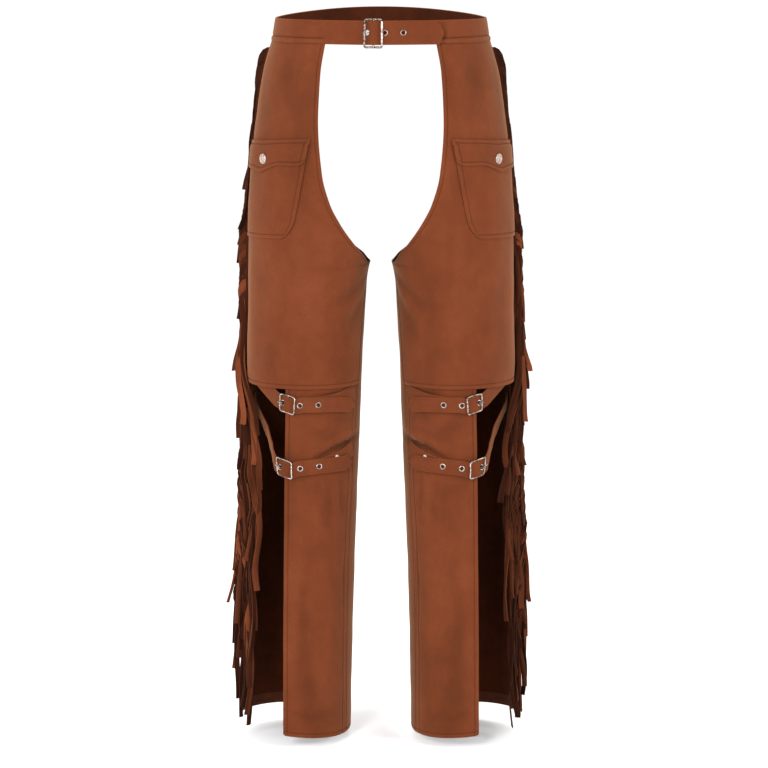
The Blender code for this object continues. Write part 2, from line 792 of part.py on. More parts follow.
for tag, side in SIDES.items():

    def on_this_leg(height, angle, out, side=side):
        return on_leg(side, height, angle, out)

    for which in ("upper", "lower"):
        name = f"{which}_{tag}"
        tab, height_at, out_at = knee_tab(f"knee_tab_{name}", on_this_leg, which)

        def tab_line(angle, height_at=height_at, out_at=out_at):
            return height_at(angle), out_at(angle)

        places = [placed_on(on_this_leg, tab_line, angle) for angle in KNEE_EYELETS[which]]
        cut_holes(tab, places, EYELET_HOLE + 2 * GAP, STRAP_LEATHER + 0.001)
        for number, place in enumerate(places, 1):
            add_eyelet(f"eyelet_{name}_{number}", place, STRAP_LEATHER)
        knee_strap(f"knee_strap_{name}", on_this_leg, which)
        frame = (KNEE_WIRE, KNEE_CENTRE_OUT, KNEE_BAR_OUT)
        buckle(f"knee_buckle_{name}", on_this_leg, KNEE_BARS, height_at, KNEE_FRAME_HALF_HEIGHT, *frame)
        hole = (KNEE_EYELETS[which][0], out_at, STRAP_LEATHER, KNEE_PRONG)
        prong(f"knee_prong_{name}", on_this_leg, KNEE_BARS, height_at, KNEE_DEGREE, *frame, *hole)

    def rivet_line(angle):
        return RIVET_AT[1], STRAP_LEATHER + 2 * GAP

    rivet_place = placed_on(on_this_leg, rivet_line, RIVET_AT[0])
    turned_piece(f"strap_rivet_{tag}", rivet_profile(), rivet_place, "snap", 10)


# ---------------------------------------------------------------- fringe

FRINGE_STAND = 0.0010
FRINGE_STAND_IN_OPENING = 0.0035  # clear of the tabs that cross the shin's open side
fringe_heights = sorted({row[0] for row in FRINGE_REACH} | {z for z in BACK_ROWS if z < FRINGE_REACH[0][0]})


def fringe_reach(height):
    """The fringe's two edge angles and how far it stands out, at a height."""
    rows = sorted(FRINGE_REACH)
    heights = [row[0] for row in rows]
    return [float(np.interp(height, heights, [row[column] for row in rows])) for column in (1, 2, 3)]


for tag, side in SIDES.items():
    faces = ([], [])
    for height in fringe_heights:
        behind, before, reach = fringe_reach(height)
        outer, inner = [], []
        for angle in np.linspace(behind, before, 6):
            stand = FRINGE_STAND if angle <= SIDE_SEAM else FRINGE_STAND_IN_OPENING
            outer.append(on_leg(side, height, angle, reach))
            inner.append(on_leg(side, height, angle, stand))
        faces[0].append(outer)
        faces[1].append(inner)
    add_piece(f"fringe_{tag}", wall_mesh(f"fringe_{tag}", *faces), "fringe")

bpy.context.view_layer.update()
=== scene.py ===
# %% [markdown]
# # Fringed suede chaps
# A lesson in building one garment from flat pieces: how a leg's form is written down as a table, how a
# panel of suede is laid on it with its creases, and how straps, buckles, stitches and a cut fringe are
# added. Everything is in metres, +Z up, and the wearer faces -Y.

# %% Load the frame that the pieces belong to
import math
import random

import bpy
import numpy as np
from mathutils import Matrix, Vector


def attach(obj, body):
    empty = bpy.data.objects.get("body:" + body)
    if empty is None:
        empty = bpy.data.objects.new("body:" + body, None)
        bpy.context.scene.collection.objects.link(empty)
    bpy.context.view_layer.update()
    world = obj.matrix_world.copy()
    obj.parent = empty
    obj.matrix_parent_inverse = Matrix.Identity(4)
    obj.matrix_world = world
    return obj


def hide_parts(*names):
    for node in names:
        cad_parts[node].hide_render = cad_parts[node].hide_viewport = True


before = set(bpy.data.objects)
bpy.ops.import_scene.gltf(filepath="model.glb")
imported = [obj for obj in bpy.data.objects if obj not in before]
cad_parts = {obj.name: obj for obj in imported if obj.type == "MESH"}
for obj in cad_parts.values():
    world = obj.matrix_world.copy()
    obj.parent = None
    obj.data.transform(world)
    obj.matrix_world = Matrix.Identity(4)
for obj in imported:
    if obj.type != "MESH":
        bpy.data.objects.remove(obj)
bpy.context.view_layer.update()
rng = random.Random(41)

# %% [markdown]
# ## Sizes
# A leg is an ellipse at each height. A point on it is named by its height and an angle that runs from the
# outer side (0) round the front (90) and the inner side (180) to the back (270). The legs mirror each
# other. Every size that two pieces share is named here once.

# %% Driving sizes
SIDES = {"r": -1, "l": 1}
LEATHER = 0.0018
POCKET_LEATHER = 0.0015
STRAP_LEATHER = 0.0015
WAIST_LEATHER = 0.0020
LAY = 0.0006  # how far a layer stands off the one below
GAP = 0.0003
HOLE_RADIUS = 0.0029  # of the punched holes

WAIST_HEIGHT = 0.031
WAIST_HALF_WIDTH = (0.1390, 0.1442)  # at the band's top and bottom edge
WAIST_HALF_DEPTH = (0.0980, 0.1015)
BACK_RISE, BACK_RISE_FADES = 0.0105, 0.12
CROTCH, THIGH_HEM, SHIN_TOP, LOWEST = -0.307, -0.467, -0.449, -0.945
LEG_RADIUS = 0.082  # about a leg's middle, to turn an angle into a length
SIDE_SEAM = -4.0
SEAM_GAP = -0.00020  # sewn edges overlap by this much
STITCH_IN = 0.0055  # from a panel's edge to its stitch row
STRAP_WIDTH = 0.020
print("a leg is", round(THIGH_HEM - LOWEST, 3), "m long below the thigh's hem")

# %% [markdown]
# ## The form and the cut edges
# The form is what a worn leg fills: it leans out a little from hip to ankle. The cut edges say where each
# panel ends on it, as a pattern laid on the leg would.

# %% The form and the cut edges
LEG_FORM = (
    # height, centre out from the middle, half width, half depth
    (-0.0155, 0.0000, 0.1442, 0.1015),
    (-0.050, 0.0113, 0.1432, 0.1025),
    (-0.100, 0.0278, 0.1347, 0.1030),
    (-0.150, 0.0442, 0.1248, 0.1020),
    (-0.200, 0.0606, 0.1109, 0.1000),
    (-0.250, 0.0771, 0.0979, 0.0970),
    (-0.307, 0.0966, 0.0802, 0.0930),
    (-0.400, 0.0995, 0.0770, 0.0880),
    (-0.467, 0.0999, 0.0737, 0.0835),
    (-0.570, 0.1046, 0.0744, 0.0800),
    (-0.700, 0.1098, 0.0746, 0.0800),
    (-0.800, 0.1133, 0.0751, 0.0810),
    (-0.945, 0.1175, 0.0763, 0.0820),
)
FRONT_CUT = (
    # height, the front panel's inner edge from the middle
    (-0.0155, 0.0721),
    (-0.054, 0.0786),
    (-0.118, 0.0814),
    (-0.183, 0.0765),
    (-0.222, 0.0662),
    (-0.248, 0.0532),
    (-0.276, 0.0351),
    (-0.292, 0.0235),
    (-0.307, 0.0164),
)
BACK_CUT = (
    # height, the back panel's inner edge from the middle
    (-0.0155, 0.0850),
    (-0.054, 0.0925),
    (-0.118, 0.0965),
    (-0.183, 0.0940),
    (-0.222, 0.0870),
    (-0.248, 0.0780),
    (-0.276, 0.0610),
    (-0.292, 0.0440),
    (-0.307, 0.0164),
)
INSEAM = (
    # height, angle
    (-0.307, 180.0),
    (-0.350, 170.0),
    (-0.400, 162.0),
    (-0.467, 156.0),
    (-0.570, 151.0),
    (-0.700, 149.0),
    (-0.945, 153.0),
)
SHIN_EDGE = ((-0.449, 69.0), (-0.570, 72.0), (-0.700, 75.0), (-0.945, 79.5))
HEM_LINE = (
    # angle, height: the corners beside the open side are rounded
    (79.0, -0.9345),
    (80.2, -0.9362),
    (82.0, -0.9374),
    (85.0, -0.9381),
    (153.0, -0.9450),
    (240.0, -0.9350),
    (351.0, -0.9291),
    (353.8, -0.9282),
    (355.3, -0.9268),
    (356.0, -0.9250),
)
print("the form has", len(LEG_FORM), "sections, and the front cut-out", len(FRONT_CUT), "points")

# %% [markdown]
# ## Curves through a table
# One curve keeps to its table without overshooting, which suits edges. The other bends evenly, which
# suits the form, since light shows every kink in a surface.

# %% Curves through a table
def edge_curve(table, column=1):
    """A column of a table as a curve that never passes beyond the values it joins."""
    rows = sorted(table)
    at = np.array([row[0] for row in rows], float)
    values = np.array([row[column] for row in rows], float)
    rises = np.diff(values) / np.diff(at)
    before, after = np.append(rises[0], rises), np.append(rises, rises[-1])
    flat = before * after <= 0
    slopes = np.where(flat, 0.0, 2 * before * after / np.where(flat, 1.0, before + after))

    def value(x):
        x = np.clip(np.asarray(x, float), at[0], at[-1])
        i = np.clip(np.searchsorted(at, x) - 1, 0, len(at) - 2)
        span = at[i + 1] - at[i]
        s = (x - at[i]) / span
        start = (1 + 2 * s) * (1 - s) ** 2 * values[i] + s * (1 - s) ** 2 * span * slopes[i]
        return start + s * s * (3 - 2 * s) * values[i + 1] + s * s * (s - 1) * span * slopes[i + 1]

    return value


def even_curve(table, column=1):
    """The same points, looked up through a short running average, so that its slope changes evenly."""
    rough = edge_curve(table, column)
    low, high = min(row[0] for row in table), max(row[0] for row in table)
    fine = np.linspace(low, high, 600)
    reach = 30
    values = rough(fine)
    weights = np.hanning(2 * reach + 1)
    weights /= weights.sum()
    start, end = values[0], values[-1]
    before, after = 2 * start - values[reach:0:-1], 2 * end - values[-2 : -reach - 2 : -1]
    even = np.convolve(np.concatenate([before, values, after]), weights, "valid")
    return lambda x: np.interp(np.asarray(x, float), fine, even)


def bell(distance, width, power=2):
    """1 at no distance, fading evenly to nothing past the width. Creases, grooves and rims are made of it."""
    return np.exp(-((distance / width) ** power))


def eased(share):
    """Turns a straight 0 to 1 into one that starts and ends gently."""
    return share * share * (3 - 2 * share)


form_centre, form_half_width, form_half_depth = (even_curve(LEG_FORM, column) for column in (1, 2, 3))
front_cut, back_cut = edge_curve(FRONT_CUT), edge_curve(BACK_CUT)
inseam, shin_edge, hem_line = edge_curve(INSEAM), edge_curve(SHIN_EDGE), edge_curve(HEM_LINE)
print("the leg's half width at the knee is", round(float(form_half_width(THIGH_HEM)), 4))

# %% [markdown]
# ## Points on the form
# Everything soft is placed by three numbers: a height, an angle and how far it stands out from the form.
# A crease, a layer or a strap then only has to say how far out it is.

# %% Points on the form
def on_ellipse(side, centre, half_width, half_depth, height, angle, out):
    """A point out from an ellipse. Behind the waist the form rises a little, as a belt line does."""
    turn = np.radians(angle)
    across, along = np.cos(turn) / half_width, -np.sin(turn) / half_depth
    size = np.hypot(across, along)
    x = centre + half_width * np.cos(turn) + out * across / size
    y = -half_depth * np.sin(turn) + out * along / size
    behind = np.maximum(y / half_depth, 0.0)
    fade = np.clip(1 + height / BACK_RISE_FADES, 0.0, 1.0)
    return np.stack([side * x, y, height + BACK_RISE * behind**2 * fade], -1)


def as_grids(*values):
    return np.broadcast_arrays(*(np.asarray(value, float) for value in values))


def on_leg(side, height, angle, out=0.0):
    height, angle, out = as_grids(height, angle, out)
    section = form_centre(height), form_half_width(height), form_half_depth(height)
    return on_ellipse(side, *section, height, angle, out)


def leg_outwards(side, height, angle):
    """Which way is out of the leg, as arrows 10 mm long."""
    return on_leg(side, height, angle, 0.01) - on_leg(side, height, angle)


def on_waist(height, angle, out=0.0):
    """A point of the waistband: angle 0 is the wearer's right side, 90 the front, 180 the left side."""
    height, angle, out = as_grids(height, angle, out)
    share = 0.5 - height / WAIST_HEIGHT
    half_width = WAIST_HALF_WIDTH[0] + share * (WAIST_HALF_WIDTH[1] - WAIST_HALF_WIDTH[0])
    half_depth = WAIST_HALF_DEPTH[0] + share * (WAIST_HALF_DEPTH[1] - WAIST_HALF_DEPTH[0])
    return on_ellipse(-1, 0.0, half_width, half_depth, height, angle, out)


def cut_angle(height, distance):
    """The angle on the front half of the form that is this far from the middle."""
    cosine = (distance - form_centre(height)) / form_half_width(height)
    return np.degrees(np.arccos(np.clip(cosine, -1.0, 1.0)))


def run_along(path):
    """How far each point of a path is from its start."""
    return np.concatenate([[0.0], np.cumsum(np.linalg.norm(np.diff(path, axis=0), axis=1))])


print("the front of the right knee is at", on_leg(-1, THIGH_HEM, 90.0).round(4))

# %% [markdown]
# ## Creases
# Each crease is a line of (angle, height) points on the form, with a width and a depth: below zero is a
# trough and above it a soft ridge. Suede of this weight folds in broad, shallow rolls, deepest where a
# strap pulls the panel in, behind the knee, and where the weight hangs from the crotch point. Widths,
# depths and heights are in metres.

# %% Creases
FRONT_CREASES = (
    # width, depth, line; first where the lower strap pulls the shin in
    (0.0046, -0.0042, (104, -0.5600), (114, -0.5548), (123, -0.5485), (140, -0.5440), (158, -0.5395),
     (176, -0.5370)),
    (0.0070, 0.0019, (112, -0.5455), (124, -0.5390), (142, -0.5335), (162, -0.5290)),
    (0.0030, -0.0012, (150, -0.548), (151.5, -0.566), (152, -0.582)),
    (0.0060, -0.0011, (133, -0.588), (135, -0.612), (138, -0.640)),
    (0.0085, -0.0008, (118, -0.592), (121, -0.630), (120, -0.668)),
    (0.0065, 0.0009, (127, -0.590), (129, -0.625), (131, -0.655)),
    # between the straps
    (0.0095, -0.0009, (84, -0.512), (100, -0.524), (118, -0.533), (134, -0.536)),
    (0.0060, -0.0011, (118, -0.506), (134, -0.508), (152, -0.5145)),
    # down the thigh, and from the crotch point
    (0.0130, 0.0012, (23, -0.290), (21, -0.350), (20, -0.430)),
    (0.0110, -0.0007, (38, -0.300), (41, -0.370), (37, -0.440)),
    (0.0070, -0.0011, (170, -0.318), (148, -0.334), (124, -0.356)),
    (0.0080, -0.0009, (166, -0.345), (146, -0.372), (128, -0.405)),
    (0.0060, 0.0008, (168, -0.331), (147, -0.352), (126, -0.378)),
    # where the upper strap pulls the shin in
    (0.0045, -0.0026, (160, -0.4640), (146, -0.4720), (128, -0.4760), (104, -0.4755)),
    # hanging from the waistband, and beside the pocket
    (0.0090, -0.0008, (34, -0.018), (41, -0.060), (45, -0.108)),
    (0.0080, 0.0006, (48, -0.018), (52, -0.060), (53, -0.100)),
    (0.0075, -0.0006, (58, -0.018), (60, -0.056), (57, -0.098)),
    (0.0100, -0.0007, (14, -0.030), (19, -0.080), (24, -0.125)),
    (0.0120, -0.0009, (64, -0.160), (72, -0.215), (86, -0.262)),
    (0.0110, 0.0008, (72, -0.150), (80, -0.205), (96, -0.255)),
    # down the shin, and over the instep
    (0.0130, -0.0013, (101, -0.690), (97, -0.780), (103, -0.880), (101, -0.925)),
    (0.0110, 0.0010, (122, -0.700), (127, -0.790), (124, -0.880)),
    (0.0100, 0.0008, (88, -0.620), (90, -0.700), (87, -0.800)),
    (0.0060, -0.0008, (88, -0.906), (108, -0.914), (132, -0.910)),
    (0.0050, -0.0009, (146, -0.690), (144, -0.730), (147, -0.770)),
)
print("creases in front:", len(FRONT_CREASES))

# %% [markdown]
# ## Creases behind
# The back of the knee folds most, because the leg bends there. The weight of the panel pulls long soft
# folds down the calf and from the crotch point up under the seat.

# %% Creases behind
BACK_CREASES = (
    # round the back of the knee
    (0.0060, -0.0022, (208, -0.452), (248, -0.467), (290, -0.460), (326, -0.450)),
    (0.0062, -0.0025, (200, -0.486), (240, -0.498), (285, -0.493), (318, -0.479)),
    (0.0070, 0.0013, (212, -0.470), (246, -0.483), (286, -0.477), (315, -0.466)),
    (0.0065, -0.0018, (214, -0.522), (258, -0.530), (302, -0.516)),
    (0.0070, 0.0011, (216, -0.507), (255, -0.514), (298, -0.504)),
    (0.0075, -0.0014, (228, -0.424), (264, -0.432), (304, -0.420)),
    (0.0060, -0.0010, (176, -0.548), (200, -0.556), (228, -0.552)),
    # down the calf
    (0.0130, -0.0014, (250, -0.575), (245, -0.650), (248, -0.735)),
    (0.0130, -0.0011, (290, -0.600), (297, -0.700), (292, -0.790)),
    (0.0110, 0.0011, (268, -0.590), (270, -0.690), (266, -0.780)),
    (0.0110, -0.0010, (202, -0.620), (208, -0.720), (204, -0.810)),
    (0.0110, -0.0010, (332, -0.560), (326, -0.660), (330, -0.770)),
    # round the ankle
    (0.0065, -0.0015, (196, -0.890), (238, -0.903), (292, -0.896)),
    (0.0070, -0.0011, (214, -0.864), (260, -0.876), (312, -0.862)),
    (0.0070, 0.0009, (205, -0.878), (248, -0.890), (300, -0.880)),
    # from the crotch point under the seat
    (0.0085, -0.0018, (198, -0.334), (228, -0.316), (262, -0.272)),
    (0.0090, -0.0015, (204, -0.362), (240, -0.348), (282, -0.302)),
    (0.0080, 0.0010, (202, -0.348), (234, -0.332), (270, -0.288)),
    # hanging from the waistband
    (0.0110, -0.0011, (334, -0.050), (324, -0.140), (327, -0.240)),
    (0.0100, -0.0008, (304, -0.040), (298, -0.090), (300, -0.140)),
    (0.0100, 0.0008, (318, -0.050), (311, -0.110), (312, -0.170)),
    (0.0120, -0.0009, (340, -0.300), (334, -0.360), (337, -0.420)),
)
STRAP_LINES = ((-0.487, -0.487), (-0.574, -0.566))  # height at the buckle and at the inseam
print("creases behind:", len(BACK_CREASES))

# %% [markdown]
# ## Relief of a leg
# Each crease fades towards its ends. The two legs get their own widths and leans, so that they do not
# look stamped from one mould. Under a strap only troughs are kept, so that no panel comes through the
# strap.

# %% Relief of a leg
def crease_field(creases, height, angle, shift):
    """How far a list of creases moves the surface out, in metres."""
    total = np.zeros_like(height)
    around = np.radians(angle) * LEG_RADIUS
    for number, (width, depth, *line) in enumerate(creases):
        lean = shift * math.sin(number * 2.1) * 0.006
        points = [(math.radians(a) * LEG_RADIUS, z + lean) for a, z in line]
        lengths = [math.dist(a, b) for a, b in zip(points, points[1:])]
        whole = sum(lengths)
        nearest = np.full_like(height, 9.0)
        passed = np.zeros_like(height)
        run = 0.0
        for (au, az), (bu, bz), length in zip(points, points[1:], lengths):
            du, dz = (bu - au) / length, (bz - az) / length
            along = np.clip((around - au) * du + (height - az) * dz, 0.0, length)
            far = np.hypot(around - au - along * du, height - az - along * dz)
            closer = far < nearest
            nearest = np.where(closer, far, nearest)
            passed = np.where(closer, (run + along) / whole, passed)
            run += length
        swell = np.sin(np.pi * np.clip(0.06 + 0.88 * passed, 0.0, 1.0)) ** 0.8
        own_depth = depth * (1 + 0.25 * shift * math.sin(number * 1.3))
        total += own_depth * swell * bell(nearest, width * (0.75 + 0.5 * passed))
    return total


def leg_relief(side, height, angle):
    """Creases and a slow unevenness, kept from lifting a panel into the straps that cross it."""
    height, angle = as_grids(height, angle)
    angle = np.where(angle < -30, angle + 360, angle)
    around = np.radians(angle)
    turned = np.where(angle > 300, angle - 360, angle)
    relief = crease_field(FRONT_CREASES, height, turned, 0.15 * side)
    relief += crease_field(BACK_CREASES, height, angle, side)
    phase = 0.7 * side
    relief += 0.00035 * np.sin(3 * around + 26 * height + phase) * np.sin(41 * height + 2 * around)
    relief += 0.00022 * np.sin(7 * around - 55 * height) * np.sin(78 * height + 4 * around + phase)
    front = (turned > 45) & (turned < 165)
    for start, end in STRAP_LINES:
        middle = start + (end - start) * np.clip((turned - 73) / 78, 0.0, 1.0)
        near = bell(height - middle, 0.0175, 6) * front
        relief = relief * (1 - near) + np.minimum(relief, 0.0) * near - 0.0003 * near
    near_seam = bell(np.abs(turned - SIDE_SEAM) * 0.0014, 0.004)
    return relief * (1 - 0.8 * near_seam)


behind_knee = leg_relief(1, np.linspace(-0.55, -0.42, 60), 260.0)
print("behind the knee the creases run from", behind_knee.min().round(4), "to", behind_knee.max().round(4))

# %% [markdown]
# ## Mixing a material
# Each material is a small graph of nodes. These helpers add one node and join it up, so that a material
# reads as a recipe. A colour is named as it shows on a screen, and turned into the light that Blender
# mixes.

# %% Mixing a material
def srgb(red, green, blue):
    shares = (value / 255 for value in (red, green, blue))
    return tuple(v / 12.92 if v <= 0.04 else ((v + 0.055) / 1.055) ** 2.4 for v in shares)


print("a mid brown reflects", [round(share, 3) for share in srgb(86, 41, 21)], "of the light")


class Graph:
    """A short way to place and join the nodes of one material."""

    def __init__(self, name):
        self.material = bpy.data.materials.new(name)
        self.material.use_nodes = True
        self.tree = self.material.node_tree
        self.shader = self.tree.nodes["Principled BSDF"]

    def node(self, kind, **inputs):
        made = self.tree.nodes.new(kind)
        for key, value in inputs.items():
            place = made.inputs[int(key[1:])] if key[0] == "i" and key[1:].isdigit() else made.inputs[key]
            if isinstance(value, bpy.types.NodeSocket):
                self.tree.links.new(value, place)
            else:
                place.default_value = value
        return made

    def noise(self, coordinates, scale, detail=3.0, roughness=0.55, distortion=0.0):
        made = self.node("ShaderNodeTexNoise", Vector=coordinates)
        for key, value in (
            ("Scale", scale),
            ("Detail", detail),
            ("Roughness", roughness),
            ("Distortion", distortion),
        ):
            made.inputs[key].default_value = value
        return made.outputs["Fac"]

    def ramp(self, factor, stops):
        made = self.node("ShaderNodeValToRGB", Fac=factor)
        band = made.color_ramp
        while len(band.elements) < len(stops):
            band.elements.new(0.5)
        for element, (at, colour) in zip(band.elements, stops):
            element.position = at
            element.color = (*colour, 1.0)
        return made.outputs["Color"]

    def mix(self, factor, first, second, blend="MIX"):
        made = self.tree.nodes.new("ShaderNodeMix")
        made.data_type = "RGBA"
        made.blend_type = blend
        for place, value in ((0, factor), (6, first), (7, second)):
            if isinstance(value, bpy.types.NodeSocket):
                self.tree.links.new(value, made.inputs[place])
            else:
                made.inputs[place].default_value = value if place == 0 else (*value[:3], 1.0)
        return made.outputs[2]

    def maths(self, operation, first, second=0.0, clamp=False):
        made = self.tree.nodes.new("ShaderNodeMath")
        made.operation = operation
        made.use_clamp = clamp
        for place, value in ((0, first), (1, second)):
            if isinstance(value, bpy.types.NodeSocket):
                self.tree.links.new(value, made.inputs[place])
            else:
                made.inputs[place].default_value = value
        return made.outputs[0]

    def bump(self, height, strength, distance):
        made = self.node("ShaderNodeBump", Strength=strength, Distance=distance, Height=height)
        self.tree.links.new(made.outputs["Normal"], self.shader.inputs["Normal"])

    def set(self, **values):
        for key, value in values.items():
            place = self.shader.inputs[key.replace("_", " ")]
            if isinstance(value, bpy.types.NodeSocket):
                self.tree.links.new(value, place)
            else:
                place.default_value = value


print("a graph can add:", ", ".join(name for name in vars(Graph) if not name.startswith("_")))

# %% [markdown]
# ## Suede
# Suede is a short nap: it scatters light, so it is rough with a soft sheen at grazing angles, mottled
# where the nap lies two ways, and a little paler where an edge is rubbed. Shade is painted into its folds
# and a highlight onto its ridges, read from the mesh's fold values. The noise is read in the object's own
# coordinates, stretched downwards, because brushed leather marks the way it hangs.

# %% Suede
def suede(name, dark, middle, light, sheen=0.22, edge=None, tone=False):
    """Suede in three tones. The mesh's own "fold" values paint shade into its troughs and a highlight onto
    its ridges, and its "edge" values rub its edges.
    """
    graph = Graph(name)
    place = graph.node("ShaderNodeTexCoord").outputs["Object"]
    hang = graph.node("ShaderNodeMapping", Vector=place, Scale=(1.0, 1.0, 0.38)).outputs["Vector"]
    patches = graph.noise(hang, 17.0, 3.0, 0.5, 0.4)
    cloud = graph.noise(place, 60.0, 3.0, 0.6, 0.3)
    nap = graph.noise(place, 620.0, 2.0, 0.7)
    grain = graph.noise(place, 1900.0, 2.0, 0.6)
    blend = graph.maths("MULTIPLY_ADD", patches, 0.62)
    graph.tree.links.new(graph.maths("MULTIPLY", cloud, 0.38), blend.node.inputs[2])
    colour = graph.ramp(blend, ((0.33, dark), (0.5, middle), (0.68, light)))
    fold = graph.tree.nodes.new("ShaderNodeAttribute")
    fold.attribute_name = "fold"
    rub = graph.tree.nodes.new("ShaderNodeAttribute")
    rub.attribute_name = "edge"
    # painted shade in the troughs and a painted highlight on the ridges, read from the fold values
    trough = graph.maths("MULTIPLY", fold.outputs["Fac"], -0.42, clamp=True)
    ridge = graph.maths("MULTIPLY", fold.outputs["Fac"], 0.22, clamp=True)
    colour = graph.mix(trough, colour, tuple(v * 0.42 for v in dark))
    colour = graph.mix(ridge, colour, tuple(v * 1.25 for v in light))
    rubbed = graph.maths("MULTIPLY", rub.outputs["Fac"], graph.maths("MULTIPLY", nap, 0.50), clamp=True)
    colour = graph.mix(rubbed, colour, edge or tuple(v * 1.22 for v in light))
    speck = graph.ramp(nap, ((0.30, (0.80, 0.78, 0.76)), (0.5, (1, 1, 1)), (0.72, (1.16, 1.15, 1.14))))
    colour = graph.mix(0.55, colour, graph.mix(1.0, colour, speck, "MULTIPLY"))
    # per-strand painted shade: the ramp darkens strands that stand for ones in shadow and lightens lit ones
    # above their own colour
    if tone:
        own = graph.tree.nodes.new("ShaderNodeAttribute")
        own.attribute_name = "tone"
        shade = graph.ramp(own.outputs["Fac"], ((0.0, (0.17, 0.14, 0.12)), (1.0, (1.34, 1.34, 1.34))))
        colour = graph.mix(1.0, colour, shade, "MULTIPLY")
    rough = graph.maths("MULTIPLY_ADD", cloud, 0.22)
    rough.node.inputs[2].default_value = 0.74
    graph.set(Base_Color=colour, Roughness=rough, Specular_IOR_Level=0.05)
    graph.set(Sheen_Weight=sheen, Sheen_Roughness=0.42, Sheen_Tint=(1.0, 0.62, 0.36, 1.0))
    high = graph.maths("MULTIPLY_ADD", nap, 0.6)
    graph.tree.links.new(grain, high.node.inputs[2])
    graph.bump(high, 0.28, 0.00045)
    return graph.material


SUEDE = suede("brown suede", srgb(78, 37, 18), srgb(86, 41, 21), srgb(93, 46, 25))
STRAP_SUEDE = suede("strap suede", srgb(77, 36, 18), srgb(84, 40, 21), srgb(91, 45, 24))
FRINGE_SUEDE = suede("fringe suede", srgb(74, 35, 18), srgb(84, 41, 22), srgb(95, 48, 27), 0.08, tone=True)
# the flesh side's own dark brown, made darker still as painted shade for the hollow insides of legs and band
SHADED_FLESH = suede("flesh side", srgb(44, 17, 6), srgb(54, 22, 8), srgb(64, 28, 12), 0.06, srgb(78, 40, 24))
# the turned-up hem shows the suede's outer face, painted darker as the shade inside the leg
SHADED_HEM_FACING = suede("turned-up hem", srgb(58, 29, 17), srgb(68, 35, 21), srgb(78, 42, 26), 0.1)
print("suedes:", ", ".join(made.name for made in (SUEDE, STRAP_SUEDE, FRINGE_SUEDE, SHADED_FLESH, SHADED_HEM_FACING)))

# %% [markdown]
# ## Metal and thread
# The buckles are plated and handled, so their colour and gloss vary in small patches: bright where they
# are rubbed and dull where dirt stays. The thread is waxed, a shade darker than the suede.

# %% Metal and thread
def metal(name, colour, roughness, worn, marks=260.0):
    """A worn metal in two tones. marks is how fine its patches are."""
    graph = Graph(name)
    place = graph.node("ShaderNodeTexCoord").outputs["Object"]
    smear = graph.noise(place, marks, 4.0, 0.6, 0.4)
    fine = graph.noise(place, 2400.0, 3.0, 0.6)
    graph.set(Base_Color=graph.ramp(smear, ((0.35, worn), (0.6, colour))), Metallic=1.0)
    rough = graph.maths("MULTIPLY_ADD", smear, 0.24)
    rough.node.inputs[2].default_value = roughness - 0.1
    graph.set(Roughness=rough)
    graph.bump(fine, 0.10, 0.0001)
    return graph.material


NICKEL = metal("worn nickel", srgb(170, 157, 148), 0.36, srgb(84, 74, 68))
ROPE_METAL = metal("rope-worked frame", srgb(148, 135, 127), 0.40, srgb(26, 21, 18), 430.0)
SNAP_METAL = metal("matte snap", srgb(186, 170, 160), 0.56, srgb(118, 102, 94), 620.0)

thread = Graph("waxed thread")
twist = thread.noise(thread.node("ShaderNodeTexCoord").outputs["Object"], 2600.0, 2.0)
thread.set(Base_Color=thread.ramp(twist, ((0.35, srgb(58, 27, 13)), (0.7, srgb(80, 40, 20)))), Roughness=0.8)
thread.set(Specular_IOR_Level=0.06)
thread.bump(twist, 0.3, 0.0002)
THREAD = thread.material
print("metals:", ", ".join(made.name for made in (NICKEL, ROPE_METAL, SNAP_METAL)), "and", THREAD.name)

# %% [markdown]
# ## Making, joining and handing over
# What every piece needs: an object from points and faces, its faces turned outwards, smooth shading that
# keeps sharp edges, and the hand-over, which says what it rides on and which solids it stands for.

# %% Making, joining and handing over
def only(made):
    """Selects one object and nothing else, since an operator acts on all that is selected."""
    for other in bpy.context.selected_objects:
        other.select_set(False)
    made.select_set(True)
    bpy.context.view_layer.objects.active = made


def new_object(name, points, faces, materials, edges=()):
    mesh = bpy.data.meshes.new(name)
    mesh.from_pydata(points, edges, faces)
    for material in materials:
        mesh.materials.append(material)
    made = bpy.data.objects.new(name, mesh)
    bpy.context.scene.collection.objects.link(made)
    return made


def mark(made, key, values):
    """Gives each point a value of its own, which a material can read."""
    attribute = made.data.attributes.new(key, "FLOAT", "POINT")
    attribute.data.foreach_set("value", values.astype(np.float32))


def smooth(made, degrees=40):
    only(made)
    bpy.ops.object.shade_smooth_by_angle(angle=math.radians(degrees))


def faced_outwards(made, degrees):
    only(made)
    bpy.ops.object.mode_set(mode="EDIT")
    bpy.ops.mesh.select_all(action="SELECT")
    bpy.ops.mesh.normals_make_consistent(inside=False)
    bpy.ops.object.mode_set(mode="OBJECT")
    smooth(made, degrees)
    return made


def joined(name, pieces):
    """Several objects made one, which keeps the first one's place."""
    only(pieces[0])
    for piece in pieces[1:]:
        piece.select_set(True)
    bpy.ops.object.join()
    made = bpy.context.view_layer.objects.active
    made.name = name
    return made


def finished(made, slot, *nodes):
    """Hands a piece over: it rides the frame and stands for its own solids."""
    made.name = made.name.replace(" ", "-")
    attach(made, "root")
    if nodes:
        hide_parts(*nodes)
    return made


def area(made):
    return round(sum(face.area for face in made.data.polygons), 4)


# %% [markdown]
# ## A sheet from a grid
# A panel of cloth is a grid of points. It becomes a mesh one face thick, and Solidify gives it the
# leather's thickness inwards, with the flesh side's material, painted dark as shade, on the inside. Its UV
# map is the flat cut piece, in metres.

# %% A sheet from a grid
def grid_normals(points):
    along = np.gradient(points, axis=0)
    across = np.gradient(points, axis=1)
    normals = np.cross(along, across)
    return normals / np.maximum(np.linalg.norm(normals, axis=-1, keepdims=True), 1e-12)


